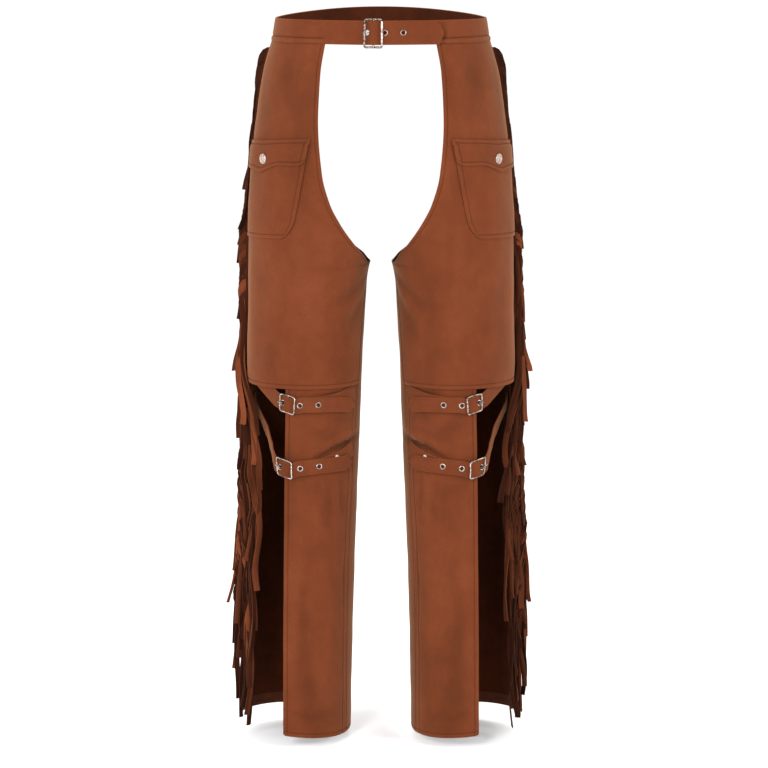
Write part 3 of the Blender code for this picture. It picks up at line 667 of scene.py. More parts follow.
def sheet_object(name, points, outwards, thickness, materials, values):
    """A grid of points as a sheet, faced the way that the rough directions in outwards point."""
    rows, columns = points.shape[:2]
    index = np.arange(rows * columns).reshape(rows, columns)
    a, b, c, d = index[:-1, :-1], index[:-1, 1:], index[1:, 1:], index[1:, :-1]
    faces = np.stack([a, d, c, b], -1).reshape(-1, 4)
    if float((grid_normals(points) * outwards).sum()) < 0:
        faces = faces[:, ::-1]
    made = new_object(name, points.reshape(-1, 3).tolist(), faces.tolist(), materials)
    steps = np.linalg.norm(np.diff(points, axis=1), axis=-1)
    u = np.concatenate([np.zeros((rows, 1)), np.cumsum(steps, axis=1)], axis=1)
    falls = np.linalg.norm(np.diff(points, axis=0), axis=-1)
    v = np.concatenate([np.zeros((1, columns)), np.cumsum(falls, axis=0)], axis=0)
    layer = made.data.uv_layers.new(name="cut")
    corners = np.empty(len(made.data.loops), np.int32)
    made.data.loops.foreach_get("vertex_index", corners)
    layer.data.foreach_set("uv", np.stack([u.reshape(-1)[corners], v.reshape(-1)[corners]], -1).reshape(-1))
    for key, grid in values.items():
        mark(made, key, np.broadcast_to(grid, (rows, columns)).reshape(-1))
    only(made)
    wall = made.modifiers.new("leather", "SOLIDIFY")
    wall.thickness = thickness
    wall.offset = -1.0
    wall.material_offset = len(materials) - 1
    bpy.ops.object.modifier_apply(modifier=wall.name)
    smooth(made)
    return made


swatch = grid_normals(np.stack(np.meshgrid([0.0, 1.0], [0.0, 1.0], [0.0], indexing="ij"), -1)[:, :, 0])
print("a level grid faces", swatch[0, 0].round(2))

# %% [markdown]
# ## Stitches
# A row of stitches is a row of small spindles of thread that sink at each end. Each row is told the
# points it runs through and which way is outwards.

# %% Stitches
STITCH_PITCH, STITCH_LENGTH, STITCH_HALF_WIDTH = 0.0032, 0.0025, 0.00034


def stitch_row(points, outwards):
    """Vertices and faces of one row of stitches."""
    run = run_along(points)
    count = int((run[-1] - 0.003) / STITCH_PITCH)
    if count < 1:
        return np.zeros((0, 3)), []
    middle = 0.0015 + STITCH_PITCH * (np.arange(count) + 0.5)

    def at(distance, grid):
        return np.stack([np.interp(distance, run, grid[:, k]) for k in range(3)], -1)

    profile = ((-1.0, 0.15, -0.9), (-0.72, 0.8, 0.1), (0.0, 1.0, 0.45), (0.72, 0.8, 0.1), (1.0, 0.15, -0.9))
    centre = at(middle, points)
    along = at(middle + 0.0008, points) - at(middle - 0.0008, points)
    along /= np.linalg.norm(along, axis=1, keepdims=True)
    up = at(middle, outwards)
    up /= np.linalg.norm(up, axis=1, keepdims=True)
    side = np.cross(along, up)
    rings = []
    for share, thick, lift in profile:
        core = centre + along * (share * STITCH_LENGTH / 2) + up * (lift * STITCH_HALF_WIDTH)
        for turn in (0, 90, 180, 270):
            reach = STITCH_HALF_WIDTH * thick
            turned = math.radians(turn + 45)
            rings.append(core + side * (reach * math.cos(turned)) + up * (reach * math.sin(turned)))
    block = np.stack(rings, 1)
    pattern = []
    for ring in range(len(profile) - 1):
        for k in range(4):
            a, b = ring * 4 + k, ring * 4 + (k + 1) % 4
            pattern.append((a, b, b + 4, a + 4))
    pattern += [(3, 2, 1, 0), (16, 17, 18, 19)]
    faces = [tuple(20 * number + v for v in face) for number in range(count) for face in pattern]
    return block.reshape(-1, 3), faces


def stitching(name, rows):
    """One object of all a piece's stitch rows."""
    points, faces, start = [], [], 0
    for row in rows:
        more, sides = stitch_row(*row)
        points.append(more)
        faces += [tuple(start + v for v in face) for face in sides]
        start += len(more)
    made = new_object(name, np.concatenate(points).tolist(), faces, [THREAD])
    return finished(faced_outwards(made, 70), "suede")


print("a metre of seam takes", round(1 / STITCH_PITCH), "stitches")

# %% [markdown]
# ## A stitched edge
# A turned and stitched edge has its own small relief: a groove at the stitch row, a little puff beside it
# and a rounded lip. The grid's lines come closer together there, so that the relief is true geometry.

# %% A stitched edge
EDGE_STEPS = np.array([0.0, 0.0006, 0.0015, 0.0028, 0.0043, 0.0050, 0.0055, 0.0060, 0.0068, 0.0085, 0.0110])
STITCH_STEP = 6  # the step that lies on the stitch row


def spaced(whole, count):
    """Distances from 0 to whole, close together at both ends, with count even steps between."""
    inner = np.linspace(EDGE_STEPS[-1], whole - EDGE_STEPS[-1], count + 1)[1:-1]
    return np.concatenate([EDGE_STEPS, inner, whole - EDGE_STEPS[::-1]])


def stitched_edge(distance, groove=0.00050, lip=0.00035):
    """The relief of a stitched edge at a distance from it."""
    line = -groove * bell(distance - STITCH_IN, 0.0008)
    puff = 0.30 * groove * bell(distance - 0.0028, 0.0016)
    return line + puff - lip * bell(distance, 0.0006)


print("the stitch row lies", EDGE_STEPS[STITCH_STEP], "m in from the edge")

# %% [markdown]
# ## A leg panel's grid
# Rows run down the leg and columns round it, from one cut edge to the other. A hem line can bend the
# lowest rows, so that the shin and the back end in one sloping line.

# %% A leg panel's grid
def panel_grid(side, top, bottom, angles_at, rows, columns, stand, hem=None):
    """A panel's points, which way is out at each, and the values that its suede reads."""
    falls = spaced(top - bottom, rows)
    heights, angles, from_first, from_last = [], [], [], []
    for fall in falls:
        level = top - fall
        first, last = (float(a) for a in angles_at(level))
        fine = np.linspace(first, last, 160)
        run = run_along(on_leg(side, level, fine))
        places = spaced(run[-1], columns)
        angles.append(np.interp(places, run, fine))
        from_first.append(places)
        from_last.append(run[-1] - places)
        heights.append(np.full(len(places), level))
    heights, angles, from_first, from_last = (np.array(v) for v in (heights, angles, from_first, from_last))
    from_top = np.broadcast_to(falls[:, None], heights.shape)
    if hem is not None:
        share = from_top / (top - bottom)
        heights = top + share * (hem(angles) - top)
    edges = (from_first, from_last, (top - bottom) - from_top)
    relief = leg_relief(side, heights, angles)
    sewn = sum(stitched_edge(distance) for distance in edges)
    points = on_leg(side, heights, angles, relief + stand(heights, angles) + sewn)
    # painted shade in troughs, in stitch grooves and along the top edge under the piece above; painted
    # highlight on ridges
    fold = relief / 0.0016 + sewn / 0.0009 - bell(from_top, 0.0013)
    values = {"fold": np.clip(fold, -1.8, 1.2), "edge": bell(np.minimum.reduce(edges), 0.0011)}
    return {"points": points, "out": leg_outwards(side, heights, angles), "values": values}


def panel_rows(grid, keys):
    """Stitch rows along a panel's named edges."""
    points, out = grid["points"], grid["out"]
    lifted = points + out * 0.008
    picks = {
        "first": (lifted[:, STITCH_STEP], out[:, STITCH_STEP]),
        "last": (lifted[:, -1 - STITCH_STEP], out[:, -1 - STITCH_STEP]),
        "bottom": (lifted[-1 - STITCH_STEP], out[-1 - STITCH_STEP]),
        "top": (lifted[STITCH_STEP], out[STITCH_STEP]),
    }
    return [picks[key] for key in keys]


print("a hip panel's columns near its edge:", spaced(0.26, 74)[:4])

# %% [markdown]
# ## Where each panel ends
# Each leg has three panels: the thigh front, with the curved cut-out, the back, from the seat round to
# both seams, and the shin front, tucked up under the thigh's hem, which hangs a little clear of it.

# %% Where each panel ends
def seam_gap(level):
    return math.degrees(SEAM_GAP / float(form_half_width(level)))


def thigh_angles(level):
    last = cut_angle(level, front_cut(level)) if level > CROTCH else inseam(level)
    return SIDE_SEAM + seam_gap(level), last - seam_gap(level)


def back_angles(level):
    first = 360 - cut_angle(level, back_cut(level)) if level > CROTCH else inseam(level)
    return first + seam_gap(level), 360 + SIDE_SEAM - seam_gap(level)


def shin_angles(level):
    return shin_edge(level), inseam(level) - seam_gap(level)


def thigh_flare(heights, angles):
    """The thigh's hem hangs free of the shin panel tucked under it, a little unevenly."""
    low = np.clip((heights + 0.37) / (SHIN_TOP + 0.005 + 0.37), 0.0, 1.0)
    wave = 0.0007 * np.sin(np.radians(angles) * 3.1 + 0.6) * low**3
    return 0.0042 * low + wave


def flat_stand(heights, angles):
    return np.zeros_like(heights)


print("at the crotch the thigh front ends at", round(float(thigh_angles(CROTCH)[1]), 1), "degrees")

# %% [markdown]
# ## Leg panels
# Every panel is laid, handed over, and stitched along its two long edges and its hem. The back panel's hem
# is seen from inside through the open side, so it has its turned-up facing.

# %% Leg panels
PANEL_TOP = -WAIST_HEIGHT / 2 + 0.0005
SEWN = ("first", "last", "bottom")


def panel(name, grid, leather):
    return sheet_object(name, grid["points"], grid["out"], leather, [SUEDE, SHADED_FLESH], grid["values"])


for tag, side in SIDES.items():
    grid = panel_grid(side, PANEL_TOP, THIGH_HEM, thigh_angles, 120, 74, thigh_flare)
    thigh = finished(panel(f"thigh front {tag}", grid, LEATHER), "suede", f"thigh_front_{tag}")
    thread_work = stitching(f"thigh stitching {tag}", panel_rows(grid, SEWN))

    grid = panel_grid(side, PANEL_TOP, LOWEST, back_angles, 190, 96, flat_stand, hem=hem_line)
    back = panel(f"back leg {tag}", grid, LEATHER)
    hem_rows = slice(-12, -1)
    facing, inwards = grid["points"][hem_rows] - 0.23 * grid["out"][hem_rows], -grid["out"][hem_rows]
    # the facing inside the hem is painted dark as shade
    turned_up = sheet_object(f"back hem {tag}", facing, inwards, 0.0008, [SHADED_HEM_FACING], {"fold": 0.0})
    back = joined(f"back leg {tag}", [back, turned_up])
    finished(back, "suede", f"back_leg_{tag}")
    thread_work = stitching(f"back stitching {tag}", panel_rows(grid, SEWN))

    grid = panel_grid(side, SHIN_TOP, LOWEST, shin_angles, 150, 62, flat_stand, hem=hem_line)
    shin = finished(panel(f"shin front {tag}", grid, LEATHER), "suede", f"shin_front_{tag}")
    thread_work = stitching(f"shin stitching {tag}", panel_rows(grid, SEWN))
    for made in (thigh, back, shin):
        print(made.name, len(made.data.polygons), "faces, area", area(made))

# %% [markdown]
# ## Where the pockets lie
# Each thigh has a patch pocket under a shaped flap. Both lie on the thigh panel's own relief. The pocket
# is a little full in its middle, and both tilt, because they are set square to the sloping side seam.

# %% Where the pockets lie
POCKET_FROM, POCKET_TO = 3.0, 66.0
FLAP_TOP, POCKET_TOP, POCKET_BOTTOM = -0.137, -0.147, -0.2680
POCKET_TILT = 0.008  # its outer side hangs this much lower at the top, half of it at the bottom
POCKET_RADIUS = 0.108  # of the leg under it, to turn an angle into a length
SNAP_AT, SNAP_SUNK = (33.0, -0.1660), 0.0009  # the snap draws the flap in by this much
FLAP_EDGE = (
    (2.0, -0.1800),
    (22.0, -0.1812),
    (31.0, -0.1838),
    (39.0, -0.1785),
    (49.0, -0.1725),
    (66.5, -0.1722),
)
flap_edge = even_curve(FLAP_EDGE)


def tilted(heights, angles):
    low = 1 - (angles - POCKET_FROM) / (POCKET_TO - POCKET_FROM)
    down = (heights - POCKET_BOTTOM) / (POCKET_TOP - POCKET_BOTTOM)
    return heights - POCKET_TILT * low * (0.5 + 0.5 * down)


def fullness(heights, angles):
    """How far the pocket bag stands out: most below its middle, and nothing at its sewn edges."""
    across = np.clip((angles - POCKET_FROM) / (POCKET_TO + 1 - POCKET_FROM), 0.0, 1.0)
    down = np.clip((FLAP_TOP - heights) / (FLAP_TOP - POCKET_BOTTOM), 0.0, 1.0)
    roll = np.sin(np.pi * across) ** 0.7 * np.sin(np.pi * down**1.15) ** 0.8
    wave = 0.0005 * np.sin(across * 11 + 2.0 * down) * np.sin(np.pi * down) * np.sin(np.pi * across)
    return 0.0022 * roll + wave


print("the pocket bag stands out", fullness(-0.2, 35.0).round(4), "m in its middle")

# %% [markdown]
# ## Pocket and flap grids
# The pocket's lower front corner is rounded. The flap's free edge is a curve with its lowest point by the
# snap, which pulls it in, and it lifts off the pocket below its own seam by a thickness of leather.

# %% Pocket and flap grids
def pocket_sheet(side):
    rows, columns = 46, 40
    falls = spaced(POCKET_TOP - POCKET_BOTTOM, rows)
    heights, angles, sides = [], [], []
    for fall in falls:
        level = POCKET_TOP - fall
        rounding = max((-0.242 - level) / 0.026, 0.0)
        last = POCKET_TO + 2.5 * fall / falls[-1] - 10.0 * (1 - math.sqrt(1 - min(rounding, 0.992) ** 2))
        width = math.radians(last - POCKET_FROM) * POCKET_RADIUS
        places = spaced(width, columns)
        angles.append(POCKET_FROM + (last - POCKET_FROM) * places / width)
        sides.append(np.minimum(places, width - places))
        heights.append(np.full(len(places), level))
    heights, angles, sides = np.array(heights), np.array(angles), np.array(sides)
    low = (POCKET_TOP - POCKET_BOTTOM) - np.broadcast_to(falls[:, None], heights.shape)
    nearest = np.minimum(sides, low)
    level = tilted(heights, angles)
    relief = leg_relief(side, level, angles)
    sewn = stitched_edge(low, 0.0006) + 0.4 * stitched_edge(sides, 0.0006)
    out = relief + LAY + POCKET_LEATHER + fullness(level, angles) + sewn
    # painted shade in troughs and stitch grooves, and a painted highlight on ridges
    values = {"fold": np.clip(relief / 0.0016 + sewn / 0.0009, -1.8, 1.2), "edge": bell(nearest, 0.0012)}
    points = on_leg(side, level, angles, out)
    return {"points": points, "out": leg_outwards(side, level, angles), "values": values}


def flap_sheet(side):
    rows, columns = 22, 46
    depth = 0.040
    falls = spaced(depth, rows) / depth
    width = 0.118
    places = spaced(width, columns)
    angles = (POCKET_FROM - 1.0) + (POCKET_TO + 1.5 - POCKET_FROM) * places / width
    angles = np.broadcast_to(angles, (len(falls), len(places)))
    top = tilted(FLAP_TOP, angles)
    share = np.broadcast_to(falls[:, None], angles.shape)
    corner = np.clip((angles - 61.4) / 5.2, 0.0, 0.985)
    level = top + share * (flap_edge(angles) + 0.0078 * (1 - np.sqrt(1 - corner**2)) - top)
    sides = np.broadcast_to(np.minimum(places, width - places), angles.shape)
    low = (1 - share) * depth
    down = share * depth
    lift = eased(np.clip((down - 0.002) / 0.010, 0.0, 1.0))
    relief = leg_relief(side, level, angles)
    stand = (POCKET_LEATHER + LAY) * (1 + lift) + fullness(level, angles) * (0.3 + 0.7 * lift)
    curl = 0.0008 * np.clip(share - 0.55, 0.0, 1.0) * (1 + np.sin(np.radians(angles) * 6.5))
    snap = SNAP_SUNK * np.exp(-(((angles - SNAP_AT[0]) * 0.0018) ** 2 + (level - SNAP_AT[1]) ** 2) / 0.011**2)
    sewn = stitched_edge(sides, 0.0006) + stitched_edge(low, 0.0006) - 0.0006 * bell(down - STITCH_IN, 0.0008)
    nearest = np.minimum(sides, np.minimum(low, down))
    # painted shade in troughs, round the snap's dent and in the stitch grooves; painted highlight on ridges
    fold = (relief - snap) / 0.0016 + stitched_edge(nearest, 0.0006) / 0.0007
    values = {"fold": np.clip(fold, -1.8, 1.2), "edge": bell(nearest, 0.0012)}
    points = on_leg(side, level, angles, relief + stand + curl - snap + sewn)
    return {"points": points, "out": leg_outwards(side, level, angles), "values": values}


print("the flap's grid:", flap_sheet(1)["points"].shape[:2], "points")

# %% [markdown]
# ## Pockets and flaps
# The pocket is sewn down both sides and along its bottom, and left open under the flap. The stitch rows
# stop short of the rounded corner, where the real row turns with the edge.

# %% Pockets and flaps
for tag, side in SIDES.items():
    grid = pocket_sheet(side)
    pocket = finished(panel(f"pocket {tag}", grid, POCKET_LEATHER), "suede", f"pocket_{tag}")
    (down, down_out), (along, along_out) = panel_rows(grid, ("last", "bottom"))
    rows = panel_rows(grid, ("first",)) + [(down[:-STITCH_STEP], down_out[:-STITCH_STEP])]
    rows.append((along[STITCH_STEP:-STITCH_STEP], along_out[STITCH_STEP:-STITCH_STEP]))
    thread_work = stitching(f"pocket stitching {tag}", rows)

    grid = flap_sheet(side)
    flap = finished(panel(f"pocket flap {tag}", grid, POCKET_LEATHER), "suede", f"pocket_flap_{tag}")
    thread_work = stitching(f"flap stitching {tag}", panel_rows(grid, SEWN + ("top",)))
    print(pocket.name, "area", area(pocket), "and", flap.name, "area", area(flap))

# %% [markdown]
# ## Turned pieces
# A snap, an eyelet and a rivet are each a profile spun about its own axis, then set down square to the
# leather.

# %% Turned pieces
def turned(name, profile, material, steps=40):
    """Spins a profile of (radius, height) points, listed from the top of the middle down the outer side."""
    points = [(radius, 0.0, height) for radius, height in profile]
    ring = profile[0][0] > 0
    edges = [(i, (i + 1) % len(points)) for i in range(len(points) if ring else len(points) - 1)]
    made = new_object(name, points, [], [material], edges)
    only(made)
    bpy.ops.object.mode_set(mode="EDIT")
    bpy.ops.mesh.select_all(action="SELECT")
    bpy.ops.mesh.spin(steps=steps, angle=2 * math.pi, center=(0, 0, 0), axis=(0, 0, 1))
    bpy.ops.mesh.select_all(action="SELECT")
    bpy.ops.mesh.remove_doubles(threshold=1e-6)
    bpy.ops.mesh.normals_make_consistent(inside=False)
    bpy.ops.object.mode_set(mode="OBJECT")
    smooth(made, 45)
    return made


def place_at(here, along, outward):
    """A matrix at a point, with X along the leather and Z straight out of it."""
    along, outward = Vector(along).normalized(), Vector(outward).normalized()
    across = outward.cross(along).normalized()
    turn = Matrix((across.cross(outward), across, outward)).transposed().to_4x4()
    return Matrix.Translation(Vector(here)) @ turn


def put(made, matrix):
    """Moves a piece's points to where a matrix says, so that the object itself stays at the origin."""
    made.data.transform(matrix)
    made.data.update()
    return made


print("a piece set down in front faces", place_at((0, 0, 0), (1, 0, 0), (0, -1, 0)).col[2][:3])

# %% [markdown]
# ## Snaps
# The cap of a snap is domed in its middle and rolled at its rim, with a groove between. It stands on the
# flap.

# %% Snaps
SNAP_PROFILE = (
    (0.0, 0.0017),
    (0.0022, 0.00175),
    (0.0031, 0.0016),
    (0.0035, 0.00135),
    (0.0040, 0.00160),
    (0.0052, 0.00170),
    (0.0060, 0.00165),
    (0.0066, 0.0013),
    (0.0070, 0.0008),
    (0.0070, 0.0003),
    (0.0067, 0.0),
    (0.0, 0.0),
)
for tag, side in SIDES.items():
    angle, level = SNAP_AT
    stand = float(leg_relief(side, level, angle)) + float(fullness(level, angle))
    stand += 2 * (POCKET_LEATHER + LAY) - SNAP_SUNK
    here = on_leg(side, level, angle, stand)
    snap = turned(f"snap {tag}", SNAP_PROFILE, SNAP_METAL)
    ahead = on_leg(side, level, angle + 1, stand) - on_leg(side, level, angle - 1, stand)
    put(snap, place_at(here, ahead, on_leg(side, level, angle, stand + 0.01) - here))
    finished(snap, "snap_metal", f"snap_{tag}")
    print(snap.name, "at", here.round(4))

# %% [markdown]
# ## Straps
# A strap is a run of stations along its length: each has an angle round its form, a height, how far it
# stands out, a twist and a share of its width, which narrows at the pointed tip.

# %% Straps
def band_grid(point_at, stations, width, across):
    """The waistband's middle surface as a grid, which follows the slope of the waist."""
    angle, height, out, twist, share = np.array(stations, float).T[:, :, None]
    tilt = np.radians(twist)
    edges = 0.5 * np.sin(np.linspace(1, -1, across) * math.pi / 2)[None, :]
    up = edges * width * share
    points = point_at(height + up * np.cos(tilt), angle, out + up * np.sin(tilt))
    return points, edges


def strap_object(name, point_at, stations, width, leather, across=11):
    """A strap along its stations, its width square to its path and its outer face half a thickness out."""
    angle, height, out, twist, share = np.array(stations, float).T
    path = point_at(height, angle, out)
    along = np.gradient(path, axis=0)
    along /= np.linalg.norm(along, axis=1, keepdims=True)
    upright = np.array((0.0, 0.0, 1.0)) - along * along[:, 2:]
    upright /= np.linalg.norm(upright, axis=1, keepdims=True)
    tilt = np.radians(twist)[:, None]
    wide = upright * np.cos(tilt) + np.cross(along, upright) * np.sin(tilt)
    edges = np.sin(np.linspace(1, -1, across) * math.pi / 2)[None, :] / 2
    points = path[:, None] + wide[:, None] * (edges * width * share[:, None])[..., None]
    normals = grid_normals(points)
    away = point_at(height, angle, out + 0.01) - path
    if (normals[-9] * away[-9]).sum() < 0:
        normals = -normals
    from_edge = (0.5 - np.abs(edges)) * width
    rounded = -0.00035 * bell(from_edge, 0.0008)
    groove = -0.0002 * bell(from_edge - 0.0026, 0.0007)
    face = points + normals * (leather / 2 + rounded + groove)[..., None]
    # the groove's fold value paints shade along it
    values = {
        "fold": groove / 0.0004,
        "edge": bell(from_edge, 0.0010),
    }
    return sheet_object(name, face, normals, leather, [STRAP_SUEDE, SHADED_FLESH], values)


stations_tried = [(angle, 0.0, 0.0, 0.0, 1.0) for angle in range(80, 100)]
tried, _ = band_grid(on_waist, stations_tried, WAIST_HEIGHT, 5)
print("20 degrees of the band measure", run_along(tried[:, 2])[-1].round(4), "m")

# %% [markdown]
# ## Holes, eyelets and rivets
# Holes are cut right through the leather with a cylinder. Each then gets an eyelet: a barrel with a
# rolled flange.

# %% Holes, eyelets and rivets
RIVET_PROFILE = (
    (0.0, 0.0011),
    (0.0014, 0.00105),
    (0.0024, 0.0008),
    (0.0030, 0.0004),
    (0.0032, 0.0),
    (0.0, 0.0),
)
EYELET_PROFILE = (
    (0.0025, 0.0010),
    (0.0029, 0.00135),
    (0.0033, 0.00140),
    (0.0038, 0.00115),
    (0.0042, 0.0006),
    (0.0042, 0.0003),
    (0.0028, 0.0003),
    (0.0028, -0.0013),
    (0.0024, -0.0013),
    (0.0023, 0.0),
)


def punch(made, places, radius):
    """Cuts round holes through a strap."""
    for place in places:
        bpy.ops.mesh.primitive_cylinder_add(vertices=24, radius=radius, depth=0.008, location=(0, 0, 0))
        cutter = bpy.context.active_object
        cutter.matrix_world = place
        bpy.context.view_layer.update()
        only(made)
        hole = made.modifiers.new("hole", "BOOLEAN")
        hole.operation = "DIFFERENCE"
        hole.solver = "EXACT"
        hole.object = cutter
        bpy.ops.object.modifier_apply(modifier=hole.name)
        bpy.data.objects.remove(cutter)
    smooth(made)


print("an eyelet is", round(max(radius for radius, _ in EYELET_PROFILE) * 2000, 1), "mm across")

# %% [markdown]
# ## Round wire
# Buckle frames, bars and prongs are wire. The wire's section is carried along its path without twisting,
# so that a closed frame meets itself, and its radius may change round it and along it, which makes the
# rope.

# %% Round wire
def tube(name, path, radius_at, material, sides=12, closed=False, up=(0.0, 0.0, 1.0)):
    """A round wire along a path. radius_at gives its radius by turn round it and distance along it."""
    path = np.asarray(path, float)
    if closed:
        tangent = np.roll(path, -1, 0) - np.roll(path, 1, 0)
    else:
        tangent = np.gradient(path, axis=0)
    tangent /= np.linalg.norm(tangent, axis=1, keepdims=True)
    first = np.cross(tangent[0], up)
    if np.linalg.norm(first) < 0.1:
        first = np.cross(tangent[0], (0.3, 1.0, 0.2))
    frames = [first / np.linalg.norm(first)]
    for t in tangent[1:]:
        carried = frames[-1] - t * np.dot(frames[-1], t)
        frames.append(carried / np.linalg.norm(carried))
    frames = np.array(frames)
    if closed:
        back = np.cross(tangent, frames)
        end = math.atan2(np.dot(frames[0], back[-1]), np.dot(frames[0], frames[-1]))
        turn = np.linspace(0, end, len(path))[:, None]
        frames = frames * np.cos(turn) + back * np.sin(turn)
    others = np.cross(tangent, frames)
    run = run_along(path)
    turns = np.arange(sides) * 2 * math.pi / sides
    radius = np.broadcast_to(radius_at(turns[None, :], run[:, None]), (len(path), sides))[..., None]
    ring = frames[:, None] * np.cos(turns)[None, :, None] + others[:, None] * np.sin(turns)[None, :, None]
    points = (path[:, None, :] + ring * radius).reshape(-1, 3)
    faces = []
    loops = len(path) if closed else len(path) - 1
    for i in range(loops):
        for k in range(sides):
            a, b = i * sides + k, i * sides + (k + 1) % sides
            c, d = ((i + 1) % len(path)) * sides + (k + 1) % sides, ((i + 1) % len(path)) * sides + k
            faces.append((a, b, c, d))
    if not closed:
        faces.append(tuple(range(sides))[::-1])
        faces.append(tuple((len(path) - 1) * sides + k for k in range(sides)))
    return faced_outwards(new_object(name, points.tolist(), faces, [material]), 50)


def rounded_path(corners, radius, closed=True, steps=7):
    """A path through corner points with each corner rounded to an arc-like curve."""
    corners = [np.asarray(c, float) for c in corners]
    path = []
    count = len(corners)
    for i, corner in enumerate(corners):
        if not closed and i in (0, count - 1):
            path.append(corner)
            continue
        before, after = corners[i - 1], corners[(i + 1) % count]
        start = corner + (before - corner) / np.linalg.norm(before - corner) * radius
        end = corner + (after - corner) / np.linalg.norm(after - corner) * radius
        for s in np.linspace(0, 1, steps):
            path.append((1 - s) ** 2 * start + 2 * s * (1 - s) * corner + s * s * end)
    dense = []
    spans = list(zip(path, path[1:] + path[:1])) if closed else list(zip(path, path[1:]))
    for a, b in spans:
        pieces = max(int(np.linalg.norm(b - a) / 0.0006), 1)
        dense += [a + (b - a) * k / pieces for k in range(pieces)]
    if not closed:
        dense.append(path[-1])
    return np.array(dense)


square = rounded_path([(0, 0, 0), (0.02, 0, 0), (0.02, 0.02, 0), (0, 0.02, 0)], 0.003)
print("a 20 mm square frame with rounded corners takes", len(square), "points")

# %% [markdown]
# ## Buckles
# A centre-bar buckle: a bowed frame, a bar across its middle that the strap folds round, and a prong hung
# on that bar. The waist buckle's frame is rope-twisted wire, and the knee buckles are plain.

# %% Buckles
def rope_wire(wire, length):
    """The radius of a two-strand rope, which swells and narrows as it twists."""
    twists = round(length / 0.0030)
    return lambda turn, run: wire * (0.74 + 0.42 * np.abs(np.sin(turn - math.pi * twists * run / length)))


def bent_wire(wire):
    return lambda turn, run: wire * (1.0 + 0.05 * np.sin(run * 900))


def buckle(name, point_at, bars, height_at, half_height, wire, centre_out, bar_out, rope, node):
    """A centre-bar buckle. bars are the angles of its first side, its bar and its last side."""
    first, middle, last = bars

    def at(angle, up):
        bow = ((angle - middle) / (last - middle)) ** 2
        return point_at(float(height_at(angle)) + up, angle, centre_out + (bar_out - centre_out) * bow)

    corners = []
    for up, angles in ((half_height, (first, middle, last)), (-half_height, (last, middle, first))):
        corners += [at(angle, up) for angle in angles]
    loop = rounded_path([corners[k] for k in (0, 2, 3, 5)], 0.0030)
    centre = (at(first, 0.0) + at(last, 0.0)) / 2
    sag = at(middle, 0.0) - centre
    ends = np.linalg.norm(corners[0] - corners[2]) / 2
    across = (at(last, 0.0) - at(first, 0.0)) / np.linalg.norm(at(last, 0.0) - at(first, 0.0))
    share = np.clip(1 - ((loop - centre) @ across / ends) ** 2, 0.0, 1.0)
    loop = loop + share[:, None] * sag
    if rope:
        frame_wire = tube(name, loop, rope_wire(wire, run_along(loop)[-1]), ROPE_METAL, 18, closed=True)
    else:
        frame_wire = tube(name, loop, bent_wire(wire), NICKEL, 12, closed=True)
    bar = [at(middle, up) for up in np.linspace(half_height, -half_height, 9)]
    bar = tube(f"{name} bar", bar, lambda turn, run: wire * 0.85, NICKEL, 12)
    pieces = [frame_wire, bar]
    if rope:
        roller = [at(last, up) for up in np.linspace(half_height - 0.0022, -half_height + 0.0022, 12)]
        pieces.append(tube(f"{name} outer bar", roller, lambda turn, run: wire * 1.16, NICKEL, 16))
    return finished(joined(name, pieces), "nickel", node)


rope = rope_wire(0.0013, 0.09)
print("a rope wire's radius along 1.5 mm:", rope(np.zeros(3), np.array([0.0, 0.0008, 0.0015])).round(5))

# %% [markdown]
# ## Prongs
# A prong is one tapering wire. Its eye is curled round the buckle's bar, and its tip rests on the frame.

# %% Prongs
def prong(name, point_at, bars, height_at, degree, stack, hole, tab_out, leather, thick, node):
    """A prong curled round the buckle's bar, then under the tab, up through its hole and onto the frame.

    degree is the length of one degree, and stack is the wire's radius and how far out the bar and frame are.
    """
    first, middle, _ = bars
    wire, centre_out, bar_out = stack
    eye = wire + GAP + thick
    below = leather / 2 + thick + GAP
    top = bar_out + wire + GAP + thick
    path = []
    for turn in range(-110, -361, -25):
        swing = math.radians(turn)
        path.append((middle + eye * math.sin(swing) / degree, centre_out + eye * math.cos(swing)))
    path.append((middle - 0.0026 / degree, float(tab_out(middle - 0.0028 / degree)) - below))
    path.append((hole + 0.0019 / degree, float(tab_out(hole)) - below))
    path.append((hole - 0.0007 / degree, top - 0.0012))
    path.append((first + 0.0012 / degree, top))
    path.append((first - 0.0006 / degree, top))
    path.append((first - 0.0018 / degree, top - 0.0004))
    points = [point_at(float(height_at(angle)), angle, out) for angle, out in path]
    fine = rounded_path(points, 0.0004, closed=False, steps=3)

    def tapered(turn, run):
        return thick * np.clip(1.05 - 0.25 * run / run.max(), 0.5, 1.2) * np.ones_like(turn)

    return finished(tube(name, fine, tapered, NICKEL, 10), "nickel", node)


def placed_on(point_at, line, angle):
    """A matrix on a line of (height, out) by angle, with Z square to the line and pointing outwards."""
    height, out = line(angle)
    here = point_at(height, angle, out)
    ends = [point_at(line(angle + turn)[0], angle + turn, line(angle + turn)[1]) for turn in (1.0, -1.0)]
    return place_at(here, ends[0] - ends[1], point_at(height, angle, out + 0.01) - here)


flat_front = placed_on(on_waist, lambda angle: (0.0, 0.0), 90.0)
print("a hole at the front of the band is cut along", flat_front.col[2][:3])

# %% [markdown]
# ## The waistband's path
# One strap goes right round: it folds back round the buckle's centre bar, runs behind the wearer and
# comes through the buckle again as a free pointed tab. The path is a list of stations, angle by angle.

